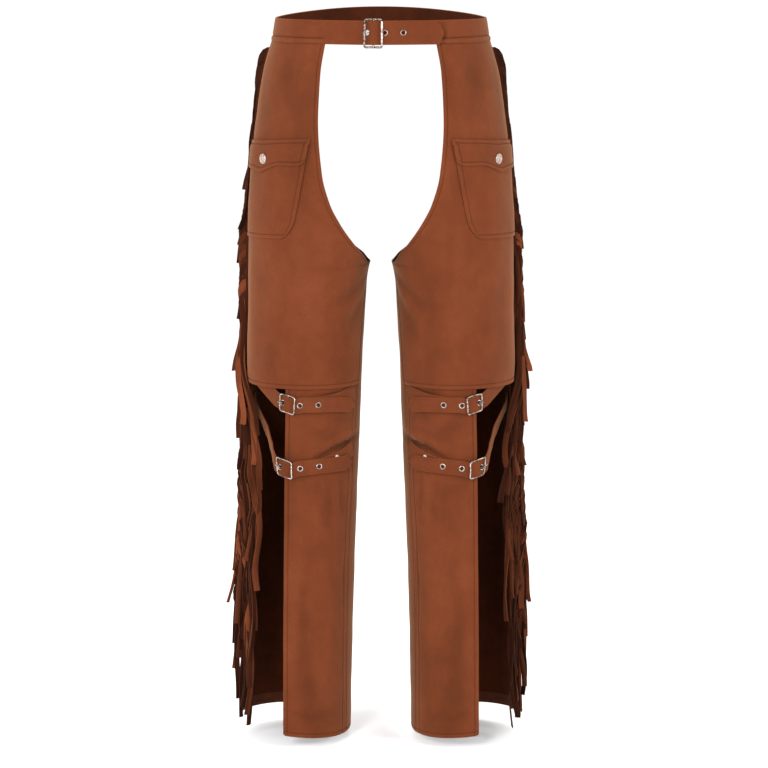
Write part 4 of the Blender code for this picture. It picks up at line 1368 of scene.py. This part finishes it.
# %% The waistband's path
WAIST_BARS = (81.8, 86.15, 90.5)
WAIST_WIRE, WAIST_FRAME_HALF_HEIGHT = 0.0013, 0.0177
WAIST_CENTRE_OUT, WAIST_BAR_OUT, WAIST_PRONG = GAP + WAIST_WIRE, 0.0075, 0.0009
WAIST_EYELETS = (83.2, 92.0, 101.6)
WAIST_TAB_END = (120.4, 123.6)
WAIST_TAB_OUT = (
    # angle, how far out the tab's middle runs as it climbs over the buckle's bar
    (60.0, -0.0010),
    (68.0, -0.0004),
    (76.0, 0.0016),
    (81.8, 0.0036),
    (83.2, 0.0044),
    (84.6, 0.0053),
    (85.6, 0.0061),
    (86.15, 0.0065),
    (86.7, 0.0061),
    (87.7, 0.0053),
    (89.1, 0.0044),
    (90.5, 0.0036),
    (92.0, 0.0031),
    (98.0, 0.0024),
    (108.0, 0.0022),
    (115.0, 0.0034),
    (123.6, 0.0064),
)
waist_tab_out = edge_curve(WAIST_TAB_OUT)
WAIST_DEGREE = math.radians(1) * WAIST_HALF_WIDTH[1]
WAIST_FOLD = WAIST_WIRE + GAP + WAIST_LEATHER / 2


def fold_stations(centre_angle, centre_out, radius, degree, height, steps=14):
    """The stations of a strap's fold round a buckle's bar."""
    for swing in np.radians(np.linspace(-200.0, 0.0, steps)):
        angle = centre_angle + radius * math.sin(swing) / degree
        yield angle, height, centre_out - radius * math.cos(swing), 0.0, 1.0


def waist_line(angle):
    return 0.0, float(waist_tab_out(angle))


stations = list(fold_stations(WAIST_BARS[1], WAIST_CENTRE_OUT, WAIST_FOLD, WAIST_DEGREE, 0.0))
for angle in np.concatenate([np.arange(87.8, 128, 1.6), np.arange(128, 420, 2.0)]):
    stations.append((angle, 0.0, -WAIST_LEATHER / 2, 0.0, 1.0))
for angle in np.arange(60.5, WAIST_TAB_END[0], 0.7):
    stations.append((360 + angle, 0.0, float(waist_tab_out(angle)), 0.0, 1.0))
WAIST_TIP = ((120.4, 1.0), (121.0, 0.84), (121.9, 0.62), (122.8, 0.38), (123.4, 0.20), (123.6, 0.10))
for angle, share in WAIST_TIP:
    stations.append((360 + angle, 0.0, float(waist_tab_out(angle)), 0.0, share))
stations = np.array(stations)
print("the waistband has", len(stations), "stations")

# %% [markdown]
# ## The waistband's relief
# A raised, stitched ridge holds the leg panels along the band's bottom. Past the free tab's tip the band
# is pressed in a little and the tab's shadow is painted on it, and shade is painted along its lower rim
# where a panel goes up under it.

# %% The waistband's relief
WAIST_GROOVE = 0.0080  # above the band's bottom


def waist_relief(points, across):
    """The raised ridge along the band's bottom, from where a leg panel hangs."""
    start = np.where(points[..., 1] < 0, 0.0700, 0.0850)
    hung = np.clip((np.abs(points[..., 0]) - start) / 0.006, 0.0, 1.0)
    from_bottom = (across + 0.5) * WAIST_HEIGHT
    ridge = 0.0009 * bell(from_bottom - 0.0038, 0.0024)
    groove = -0.0012 * bell(from_bottom - WAIST_GROOVE, 0.0008)
    return hung * (ridge + groove)


points, edges = band_grid(on_waist, stations, WAIST_HEIGHT, 25)
normals = grid_normals(points)
away = on_waist(0.0, stations[:, 0], 0.01) - on_waist(0.0, stations[:, 0])
if (normals[-8] * away[-8]).sum() < 0:
    normals = -normals
around = stations[:, 0:1]
free = (around > 420) | (around < 87.5)
relief = np.where(free, 0.0, waist_relief(points, edges))
rim = (0.5 - np.abs(edges)) * WAIST_HEIGHT
rounded = -0.0004 * bell(rim, 0.0009)
slow = 0.0003 * np.sin(np.radians(around) * 9.0) * np.sin(edges * 4.0 + 0.5)
slow = np.where((around > 95) & (around < 425), slow, 0.0)
# past the tab's tip the band is pressed in, and the same mask paints the tab's shadow there
tuck_and_shadow = bell(around - 125.0 - 3.0 * np.minimum(edges, 0.0), 1.7) * np.clip(0.75 - edges, 0.25, 1.0)
face = points + normals * (WAIST_LEATHER / 2 + relief + rounded + slow - 0.0008 * tuck_and_shadow)[..., None]
over_panel = (np.abs(points[..., 0]) > 0.074) & ~free
# painted shade along the band's lower rim where a panel goes up under it
under = over_panel * bell((edges + 0.5) * WAIST_HEIGHT, 0.0010)
# fold paints shade in the groove and a highlight on the ridge, plus the painted shadow and rim shade
values = {
    "fold": np.clip(relief / 0.0008 - under - 1.5 * tuck_and_shadow, -1.8, 0.8),
    "edge": bell(rim, 0.0011) * (1 - under),
}
print("the band's relief runs from", relief.min().round(5), "to", relief.max().round(5))

# %% [markdown]
# ## The waistband and its buckle
# The band is laid, punched and given its eyelets, and one row of stitches runs in the groove over each
# panel. Then come the buckle, whose frame is rope-twisted wire, and its prong through the tab's first
# eyelet.

# %% The waistband and its buckle
band = sheet_object("waist band", face, normals, WAIST_LEATHER, [SUEDE, SHADED_FLESH], values)
places = [placed_on(on_waist, waist_line, angle) for angle in WAIST_EYELETS]
punch(band, places, HOLE_RADIUS)
finished(band, "suede", "waistband")
groove_at = int(np.argmin(np.abs((edges[0] + 0.5) * WAIST_HEIGHT - WAIST_GROOVE)))
in_groove, out_of_groove = face[:, groove_at], normals[:, groove_at]
on_panel = over_panel[:, groove_at]
changes = np.where(np.diff(on_panel.astype(int)) != 0)[0] + 1
ridge_rows = []
for run in np.split(np.arange(len(points)), changes):
    if on_panel[run[0]] and len(run) > 4:
        ridge_rows.append((in_groove[run] + out_of_groove[run] * 0.0001, out_of_groove[run]))
thread_work = stitching("waistband stitching", ridge_rows)
for number, place in enumerate(places, 1):
    eyelet = put(turned(f"waist eyelet {number}", EYELET_PROFILE, NICKEL, 32), place)
    finished(eyelet, "nickel", f"waist_eyelet_{number}")
waist_stack = (WAIST_WIRE, WAIST_CENTRE_OUT, WAIST_BAR_OUT)
buckle(
    "waist buckle", on_waist, WAIST_BARS, lambda angle: -0.0008, WAIST_FRAME_HALF_HEIGHT, *waist_stack,
    rope=True, node="waist_buckle",
)
prong(
    "waist prong", on_waist, WAIST_BARS, lambda angle: 0.0, WAIST_DEGREE, waist_stack, WAIST_EYELETS[0],
    waist_tab_out, WAIST_LEATHER, WAIST_PRONG, "waist_prong",
)
print("waistband area", area(band), "rows of stitches", len(ridge_rows))

# %% [markdown]
# ## Where the knee straps run
# Two on each shin. A tab comes from inside the back panel's outer edge, crosses the open side, and goes
# through a buckle that a short strap from the inseam holds. The lower tab hangs twisted, nearly edge on.

# %% Where the knee straps run
KNEE_BARS = (66.6, 73.6, 80.6)
KNEE_WIRE, KNEE_FRAME_HALF_HEIGHT = 0.0010, 0.0113
KNEE_CENTRE_OUT, KNEE_BAR_OUT, KNEE_PRONG = STRAP_LEATHER + 2 * GAP + KNEE_WIRE, 0.0075, 0.0007
KNEE_EYELETS = {"upper": (69.0, 85.6, 103.4), "lower": (69.4, 88.6, 107.0)}
KNEE_TAB_END = (138.0, 146.5)
KNEE_TAB_LINE = {
    # angle, height of its middle, twist
    "upper": (
        (-14.0, -0.4530, 0.0),
        (20.0, -0.4580, 0.0),
        (42.0, -0.4675, 0.0),
        (55.0, -0.4770, 0.0),
        (68.0, -0.4867, 0.0),
        (87.0, -0.4877, 0.0),
        (106.0, -0.4880, 0.0),
        (128.0, -0.4900, 0.0),
        (148.5, -0.4940, 0.0),
    ),
    "lower": (
        (-14.0, -0.4960, 0.0),
        (-4.0, -0.4985, 4.0),
        (8.0, -0.5035, 10.0),
        (24.0, -0.5120, 14.0),
        (40.0, -0.5270, 15.0),
        (50.0, -0.5430, 14.0),
        (58.0, -0.5590, 11.0),
        (63.0, -0.5680, 7.0),
        (67.0, -0.5725, 2.0),
        (74.0, -0.5740, 0.0),
        (89.0, -0.5728, 0.0),
        (109.0, -0.5706, 0.0),
        (148.5, -0.5695, 0.0),
    ),
}
KNEE_TAB_AT_BUCKLE = (
    # angle, how far out the tab's middle runs, over the buckle's bar and down to its tip
    (65.0, 0.0036),
    (66.6, 0.0041),
    (68.3, 0.0048),
    (70.0, 0.0056),
    (71.8, 0.0064),
    (73.6, 0.00715),
    (75.4, 0.0064),
    (77.2, 0.0056),
    (78.9, 0.0048),
    (80.6, 0.0041),
    (85.0, 0.0039),
    (124.0, 0.0039),
    (136.0, 0.0046),
    (148.5, 0.0062),
)
KNEE_TAB_OUT = {
    "upper": (
        (-14.0, -0.0042),
        (6.0, -0.0040),
        (30.0, -0.0028),
        (50.0, -0.0010),
        (57.0, 0.0006),
        (61.0, 0.0022),
    ),
    "lower": (
        (-14.0, -0.0042),
        (-4.0, -0.0056),
        (8.0, -0.0085),
        (24.0, -0.0095),
        (40.0, -0.0090),
        (52.0, -0.0055),
        (60.0, -0.0002),
    ),
}
KNEE_STRAP_LINE = {
    "upper": ((73.6, -0.4870), (100.0, -0.4868), (120.0, -0.4850), (140.0, -0.4800), (151.0, -0.4775)),
    "lower": ((73.6, -0.5740), (89.0, -0.5726), (110.0, -0.5700), (125.0, -0.5660), (150.5, -0.5530)),
}
KNEE_DEGREE = math.radians(1) * 0.0775  # the length of one degree of the shin
KNEE_FOLD = KNEE_WIRE + GAP + STRAP_LEATHER / 2
RIVET_AT = (127.0, -0.5605)

print("each knee tab runs from", KNEE_TAB_LINE["upper"][0][0], "to", KNEE_TAB_END[1], "degrees")

# %% [markdown]
# ## How a pull turns a buckle
# A pull on a tab turns its buckle, so the buckle and the leather next to it slope and lean together. The
# turn fades out along the strap.

# %% How a pull turns a buckle
# a buckle's height, how far its top and bottom slope and how far its sides lean
KNEE_LEAN = {"upper": (-0.4869, 13.0, 1.0), "lower": (-0.5738, 14.0, -7.0)}


def leaned(which, height, angle):
    """Leans a buckle and the leather near it, as the pull of the tab does. It fades out along the strap."""
    level, slope, lean = KNEE_LEAN[which]
    run = (np.asarray(angle, float) - KNEE_BARS[1]) * KNEE_DEGREE
    up = np.asarray(height, float) - level
    near = bell(run, 0.0145, 4)
    down = run * math.sin(math.radians(slope)) * near
    aside = up * math.sin(math.radians(lean)) * near
    return level + up - down, KNEE_BARS[1] + (run + aside) / KNEE_DEGREE


def plain_leg(side):
    return lambda height, angle, out=0.0: on_leg(side, height, angle, out)


def leaned_leg(which, side):
    return lambda height, angle, out=0.0: on_leg(side, *leaned(which, height, angle), out)


print("the lower buckle's corner moves to", [round(float(v), 4) for v in leaned("lower", -0.5625, 66.6)])

# %% [markdown]
# ## Knee tabs and short straps
# Each tab is punched three times and gets its eyelets. Each short strap folds round its buckle's bar.

# %% Knee tabs and short straps
def tab_stations(which, side, height_at, out_at):
    """The stations of a knee tab, from inside the back panel to its pointed tip."""
    twist_at = even_curve(KNEE_TAB_LINE[which], 2)
    phase = 1 if which == "upper" else 2.4
    stations = []
    for angle in np.linspace(-14.0, KNEE_TAB_END[0], 150):
        sag = 0.0006 * math.sin(math.radians(angle) * 5 + phase) * (angle > 86)
        out = float(out_at(angle)) + sag * min((angle - 86) / 12, 1.0) * 0.6
        stations.append((angle, float(height_at(angle)), out, -side * float(twist_at(angle)), 1.0))
    for share in (0.97, 0.86, 0.68, 0.46, 0.24, 0.12):
        angle = KNEE_TAB_END[0] + (KNEE_TAB_END[1] - KNEE_TAB_END[0]) * (1 - share)
        stations.append((angle, float(height_at(angle)), float(out_at(angle)), 0.0, share))
    return stations


def knee_tab(which, tag, here, stations, height_at, out_at):
    name = f"{which}_{tag}"
    tab = strap_object(f"knee tab {name}", here, stations, STRAP_WIDTH, STRAP_LEATHER)
    places = [
        placed_on(here, lambda turn: (float(height_at(turn)), float(out_at(turn))), angle)
        for angle in KNEE_EYELETS[which]
    ]
    punch(tab, places, HOLE_RADIUS)
    finished(tab, "suede", f"knee_tab_{name}")
    for number, place in enumerate(places, 1):
        eyelet = put(turned(f"eyelet {name} {number}", EYELET_PROFILE, NICKEL, 32), place)
        finished(eyelet, "nickel", f"eyelet_{name}_{number}")
    print(tab.name, "area", area(tab))


def knee_strap(which, tag, here):
    name, line, middle = f"{which}_{tag}", edge_curve(KNEE_STRAP_LINE[which]), KNEE_BARS[1]
    stations = list(fold_stations(middle, KNEE_CENTRE_OUT, KNEE_FOLD, KNEE_DEGREE, float(line(middle))))
    for angle in np.linspace(middle + 2.8, KNEE_STRAP_LINE[which][-1][0], 70):
        stations.append((angle, float(line(angle)), STRAP_LEATHER / 2 + GAP, 0.0, 1.0))
    strap = strap_object(f"knee strap {name}", here, stations, STRAP_WIDTH, STRAP_LEATHER)
    finished(strap, "suede", f"knee_strap_{name}")
    print(strap.name, "area", area(strap))


print("a knee tab's tip is", round((KNEE_TAB_END[1] - KNEE_TAB_END[0]) * KNEE_DEGREE, 4), "m long")

# %% [markdown]
# ## Knee straps and their buckles
# Two on each leg, and a rivet half under the lower tab.

# %% Knee straps and their buckles
knee_stack = (KNEE_WIRE, KNEE_CENTRE_OUT, KNEE_BAR_OUT)
for tag, side in SIDES.items():
    for which in ("upper", "lower"):
        here = leaned_leg(which, side)
        height_at = even_curve(KNEE_TAB_LINE[which])
        out_at = edge_curve(KNEE_TAB_OUT[which] + KNEE_TAB_AT_BUCKLE)
        knee_tab(which, tag, here, tab_stations(which, side, height_at, out_at), height_at, out_at)
        knee_strap(which, tag, here)
        buckle(
            f"knee buckle {which}_{tag}", here, KNEE_BARS, height_at, KNEE_FRAME_HALF_HEIGHT, *knee_stack,
            rope=False, node=f"knee_buckle_{which}_{tag}",
        )
        prong(
            f"knee prong {which}_{tag}", here, KNEE_BARS, height_at, KNEE_DEGREE, knee_stack,
            KNEE_EYELETS[which][0], out_at, STRAP_LEATHER, KNEE_PRONG, f"knee_prong_{which}_{tag}",
        )
    rivet = turned(f"strap rivet {tag}", RIVET_PROFILE, SNAP_METAL, 28)
    put(rivet, placed_on(plain_leg(side), lambda angle: (RIVET_AT[1], STRAP_LEATHER + 2 * GAP), RIVET_AT[0]))
    finished(rivet, "snap_metal", f"strap_rivet_{tag}")

# %% [markdown]
# ## The fringe's reach
# Strands are cut from one strip sewn into the side seam. Together they fill a band that is thin at the
# hip, gathers over the thigh's hem and swings forward across the open side below it. Two curves say how
# far.

# %% The fringe's reach
STRAND_WIDTH, STRAND_THICK, STRAND_LENGTH, STRAND_PITCH = 0.0080, 0.0014, 0.187, 0.0079
FRINGE_DEGREE = 0.00135  # the length of one degree at the side seam
FRINGE_TOP, FRINGE_FALL = -0.027, 0.739  # the first strand's root, and how far down the roots run
FRINGE_OUT = (
    # height, how far the outermost strands stand off the leg
    (-0.020, 0.0060),
    (-0.036, 0.0090),
    (-0.052, 0.0082),
    (-0.074, 0.0050),
    (-0.106, 0.0036),
    (-0.140, 0.0040),
    (-0.171, 0.0040),
    (-0.205, 0.0055),
    (-0.240, 0.0072),
    (-0.262, 0.0115),
    (-0.281, 0.0145),
    (-0.330, 0.0165),
    (-0.400, 0.0170),
    (-0.497, 0.0195),
    (-0.522, 0.0206),
    (-0.546, 0.0180),
    (-0.585, 0.0220),
    (-0.606, 0.0172),
    (-0.630, 0.0140),
    (-0.690, 0.0145),
    (-0.750, 0.0165),
    (-0.800, 0.0185),
    (-0.870, 0.0170),
    (-0.945, 0.0120),
    (-0.970, 0.0100),
)
FRINGE_FRONT = (
    # height, how far in front of the seam the foremost strands hang
    (-0.020, 0.003),
    (-0.370, 0.003),
    (-0.410, 0.008),
    (-0.445, 0.020),
    (-0.474, 0.036),
    (-0.505, 0.050),
    (-0.544, 0.061),
    (-0.570, 0.066),
    (-0.610, 0.062),
    (-0.660, 0.052),
    (-0.720, 0.047),
    (-0.780, 0.051),
    (-0.850, 0.051),
    (-0.970, 0.044),
)
FRINGE_BEHIND = 0.017
fringe_out, fringe_front = edge_curve(FRINGE_OUT), edge_curve(FRINGE_FRONT)
print("at the knee the fringe stands off", round(float(fringe_out(-0.5)), 4), "m")

# %% [markdown]
# ## One strand's path
# A strand starts with its width along the seam, leaves the leg level, turns down within its arc and takes
# its lane. It lies over the thigh's hem as it passes it, and below the knee it sinks into the open side.

# %% One strand's path
def strand(side, root, length, lane, depth, twist, drift, arc, curl, wave):
    """One strand's middle line, its width directions and the way its face looks.

    Lane 0 hangs hindmost and 1 foremost. Depth 0 hangs on the leg and 1 outermost.
    """
    run = np.linspace(0.0, length, 33)
    gone = run / length
    bend = np.radians(90.0) * (1 - bell(run, arc, 1.7))
    level = root - np.concatenate([[0.0], np.cumsum(np.sin(bend[1:]) * run[1])])
    away = np.concatenate([[0.0], np.cumsum(np.cos(bend[1:]) * run[1])])
    reach = fringe_out(level)
    least = np.arccos(np.clip((reach - 0.0014) / STRAND_WIDTH, 0.0, 1.0))
    lie = np.sign(twist) * np.maximum(np.abs(twist) * (0.4 + 0.6 * gone), least)
    lie = lie * (1 - bell(run, 0.030)) + 0.35 * np.sin(run * 60 + wave[2] * 2) * gone
    half_width = np.cos(lie) * STRAND_WIDTH / 2
    inner = 0.0010 + half_width
    aim = inner + np.maximum(reach - inner - half_width, 0.0) * depth * (0.28 + 0.77 * gone**2)
    settle = eased(np.clip((run - 0.008) / 0.040, 0.0, 1.0))
    out = 0.0006 + away * (1 - settle) + aim * settle + curl * gone**4
    spread = 1 - bell(run, 0.055, 1.4)
    front = fringe_front(level)
    bunched = lane ** (1 - 0.58 * np.clip(front / 0.05, 0.0, 1.0))
    lane_at = -FRINGE_BEHIND + (FRINGE_BEHIND + front) * bunched
    swing, pace, start = wave
    across = lane_at * spread + drift * gone + swing * np.sin(run * pace + start) * spread
    sunk = np.clip((across - 0.006) / 0.024, 0.0, 1.0) * np.clip((-0.580 - level) / 0.060, 0.0, 1.0)
    over_hem = np.clip((-0.370 - level) / 0.074, 0.0, 1.0) * np.clip((level + 0.510) / 0.040, 0.0, 1.0)
    over_hem = over_hem * np.clip(0.5 + across / 0.008, 0.0, 1.0)
    sway = 0.0015 * np.sin(run * pace * 1.4 + start + 1.0) * gone
    angle = SIDE_SEAM + across / FRINGE_DEGREE
    path = on_leg(side, level, angle, out - 0.0125 * sunk + 0.0048 * over_hem + sway)
    radial = leg_outwards(side, level, angle)
    radial /= np.linalg.norm(radial, axis=1, keepdims=True)
    round_leg = np.cross(radial, (0.0, 0.0, 1.0))
    along = np.gradient(path, axis=0)
    along /= np.linalg.norm(along, axis=1, keepdims=True)
    in_plane = np.cross(along, round_leg)
    wide = in_plane * np.cos(lie)[:, None] + round_leg * np.sin(lie)[:, None]
    wide -= along * (wide * along).sum(1, keepdims=True)
    wide /= np.linalg.norm(wide, axis=1, keepdims=True)
    return path, wide, np.cross(along, wide)


by_the_knee, _, _ = strand(1, -0.5, STRAND_LENGTH, 0.5, 0.5, 0.3, 0.0, 0.01, 0.0, (0.0, 0.0, 0.0))
print("a strand rooted at -0.5 ends at", by_the_knee[-1].round(3))

# %% [markdown]
# ## One strand's skin
# The path gets a flat, slightly cupped section with a rubbed edge each side and a square-cut end. The
# header, a narrow strip in the seam that holds the strands, is skinned in the same way.

# %% One strand's skin
STRAND_SECTION = (
    # across, through and share of the cup, round the strand's section
    (-0.47, 0.5, 0.0),
    (0.0, 0.5, 1.0),
    (0.47, 0.5, 0.0),
    (0.5, 0.0, 0.0),
    (0.47, -0.5, 0.0),
    (0.0, -0.5, 1.0),
    (-0.47, -0.5, 0.0),
    (-0.5, 0.0, 0.0),
)
STRAND_RUB = (0.2, 0.0, 0.2, 0.7, 0.2, 0.0, 0.2, 0.7)  # how rubbed each point of the section is


def skin_faces(base, rings):
    """The faces round a closed strand whose first point is number base, and its two ends."""
    sides = len(STRAND_SECTION)
    faces = []
    for start in range(base, base + (rings - 1) * sides, sides):
        for k in range(sides):
            a, b = start + k, start + (k + 1) % sides
            faces.append((a, b, b + sides, a + sides))
    for start in (base, base + (rings - 1) * sides):
        faces += [tuple(start + k for k in quad) for quad in ((0, 1, 6, 7), (1, 2, 5, 6), (2, 3, 4, 5))]
    return faces


def strand_skin(path, wide, through, width, cup):
    rings = []
    for share, skin, cupped in STRAND_SECTION:
        rings.append(path + wide * (share * width) + through * (skin * STRAND_THICK + cupped * cup)[:, None])
    return np.stack(rings, 1).reshape(-1, 3)


def header_skin(side, heights):
    rings = []
    for share, skin, _ in STRAND_SECTION:
        level = heights - 0.0022 * max(share, 0.0)
        angle = SIDE_SEAM + skin * STRAND_THICK / FRINGE_DEGREE
        rings.append(on_leg(side, level, angle, 0.0018 + share * 0.0040))
    return np.stack(rings, 1).reshape(-1, 3)


print("a strand of 33 rings has", len(skin_faces(0, 33)), "faces")

# %% [markdown]
# ## The fringe
# Each strand draws its own lane, depth, twist, drift, wave, curl, length and painted shade, so that light
# and dark ones alternate and no two hang alike. Those near the hip and those nearest the leg are painted
# darker, for the shade they lie in among the others. All the strands of a leg and their header are one piece.

# %% The fringe
def cut_strand(side, number):
    """One strand's points and painted shade. The order of the draws is kept, because each changes all that
    follow.
    """
    root = FRINGE_TOP - number * STRAND_PITCH
    lane = min(max(((number * 7 + 15) % 17) / 16 + rng.uniform(-0.05, 0.05), 0.0), 1.0)
    lane *= min(max(0.45 + (-0.31 - root) / 0.10, 0.45), 1.0)
    depth = (((number * 5 + 4) % 8) / 7) ** 1.6 * 0.88 + rng.uniform(0.0, 0.12)
    twist = rng.choice((-1, 1)) * math.radians(rng.choice((6, 12, 18, 26, 38, 56)) + rng.uniform(-5, 5))
    drift = rng.uniform(-0.013, 0.013)
    arc = min(0.0085 + rng.uniform(0.0, 0.0045), 1.1 * float(fringe_out(root - 0.010)))
    curl = rng.choice((-0.004, 0.0, 0.0015, 0.0055)) * rng.uniform(0.5, 1.0)
    wave = (rng.uniform(0.0010, 0.0042), rng.uniform(22, 52), rng.uniform(0, 6.28))
    length = STRAND_LENGTH + rng.uniform(-0.006, 0.003)
    path, wide, through = strand(side, root, length, lane, depth, twist, drift, arc, curl, wave)
    width = STRAND_WIDTH * rng.uniform(0.88, 1.04)
    cup = rng.choice((-1, 1)) * rng.uniform(0.0006, 0.0017) * (1 - np.exp(-np.linspace(0, 6, len(path))))
    # painted shade: a random lit or dark strand, darker near the hip and nearer the leg, where strands lie in
    # each other's shadow
    shade = rng.choice((0.0, 0.06, 0.16, 0.30, 0.52, 0.92)) * (0.10 + 0.90 * min((number / 34) ** 1.4, 1.0))
    return strand_skin(path, wide, through, width, cup), shade * (0.6 + 0.4 * depth)


for tag, side in SIDES.items():
    count, sides = int(FRINGE_FALL / STRAND_PITCH), len(STRAND_SECTION)
    vertices, tones, rubs = [], [], []
    for number in range(count):
        skin, shade = cut_strand(side, number)
        vertices.append(skin)
        tones.append(np.full(len(skin), shade))
        rubs.append(np.tile(STRAND_RUB, len(skin) // sides))
    header = header_skin(side, np.linspace(-0.0240, -0.7700, 150))
    vertices.append(header)
    # the header is painted dark, as the shade under the strands
    tones.append(np.full(len(header), 0.15))
    rubs.append(np.zeros(len(header)))
    faces, base = [], 0
    for skin in vertices:
        faces += skin_faces(base, len(skin) // sides)
        base += len(skin)
    fringe = new_object(f"fringe {tag}", np.concatenate(vertices).tolist(), faces, [FRINGE_SUEDE])
    mark(fringe, "tone", np.concatenate(tones))
    mark(fringe, "edge", np.concatenate(rubs))
    finished(faced_outwards(fringe, 50), "fringe_suede", f"fringe_{tag}")
    print(fringe.name, count, "strands,", len(faces), "faces")

# %% [markdown]
# ## Stage and light
# A pale floor under the hems and a pale surround. A soft light in front and a little above does most of
# the work, a low one lifts the shins, and a weaker one each side and above rounds the legs.

# %% Stage and light
for left_over in [made for made in bpy.data.objects if made.type in ("LIGHT", "CAMERA")]:
    bpy.data.objects.remove(left_over)

FLOOR = -0.957
bpy.ops.mesh.primitive_plane_add(size=14.0, location=(0, 0, FLOOR))
floor = bpy.context.active_object
floor.name = "floor"
paint = Graph("pale floor")
paint.set(Base_Color=(0.93, 0.93, 0.93, 1.0), Roughness=0.9, Specular_IOR_Level=0.1)
floor.data.materials.append(paint.material)

world = bpy.context.scene.world or bpy.data.worlds.new("surround")
bpy.context.scene.world = world
world.use_nodes = True
background = world.node_tree.nodes["Background"]
background.inputs["Color"].default_value = (1.0, 1.0, 1.0, 1.0)
background.inputs["Strength"].default_value = 1.04


def soft_light(name, place, target, size, power):
    bpy.ops.object.light_add(type="AREA", location=place)
    lamp = bpy.context.active_object
    lamp.name = name
    lamp.data.shape = "DISK"
    lamp.data.size = size
    lamp.data.energy = power
    lamp.rotation_euler = (Vector(target) - Vector(place)).to_track_quat("-Z", "Y").to_euler()
    print(name, "is", round((Vector(target) - Vector(place)).length, 2), "m away")


soft_light("key light", (-1.1, -3.3, 0.8), (0, 0, -0.55), 1.0, 84)
soft_light("low light", (0.5, -3.2, -0.80), (0, 0, -0.85), 1.2, 20)
soft_light("right light", (2.3, -1.5, 0.4), (0, 0, -0.5), 1.2, 56)
soft_light("left light", (-2.5, -1.1, 0.4), (0, 0, -0.5), 1.2, 46)
soft_light("top light", (0.2, 0.6, 2.4), (0, 0, -0.3), 1.8, 28)

# %% [markdown]
# ## Camera
# It looks a little down, from in front and well away, at the whole garment, through a long lens that
# keeps the legs from spreading.

# %% Camera
bpy.ops.object.camera_add(location=(0.004, -4.2, 0.20), rotation=(math.radians(90 - 9.108), 0, 0))
camera = bpy.context.active_object
camera.name = "camera"
camera.data.sensor_width = 36
camera.data.lens = 148.776
bpy.context.scene.camera = camera
bpy.context.scene.view_settings.view_transform = "Standard"
print("the lens is", camera.data.lens, "mm")

# %% [markdown]
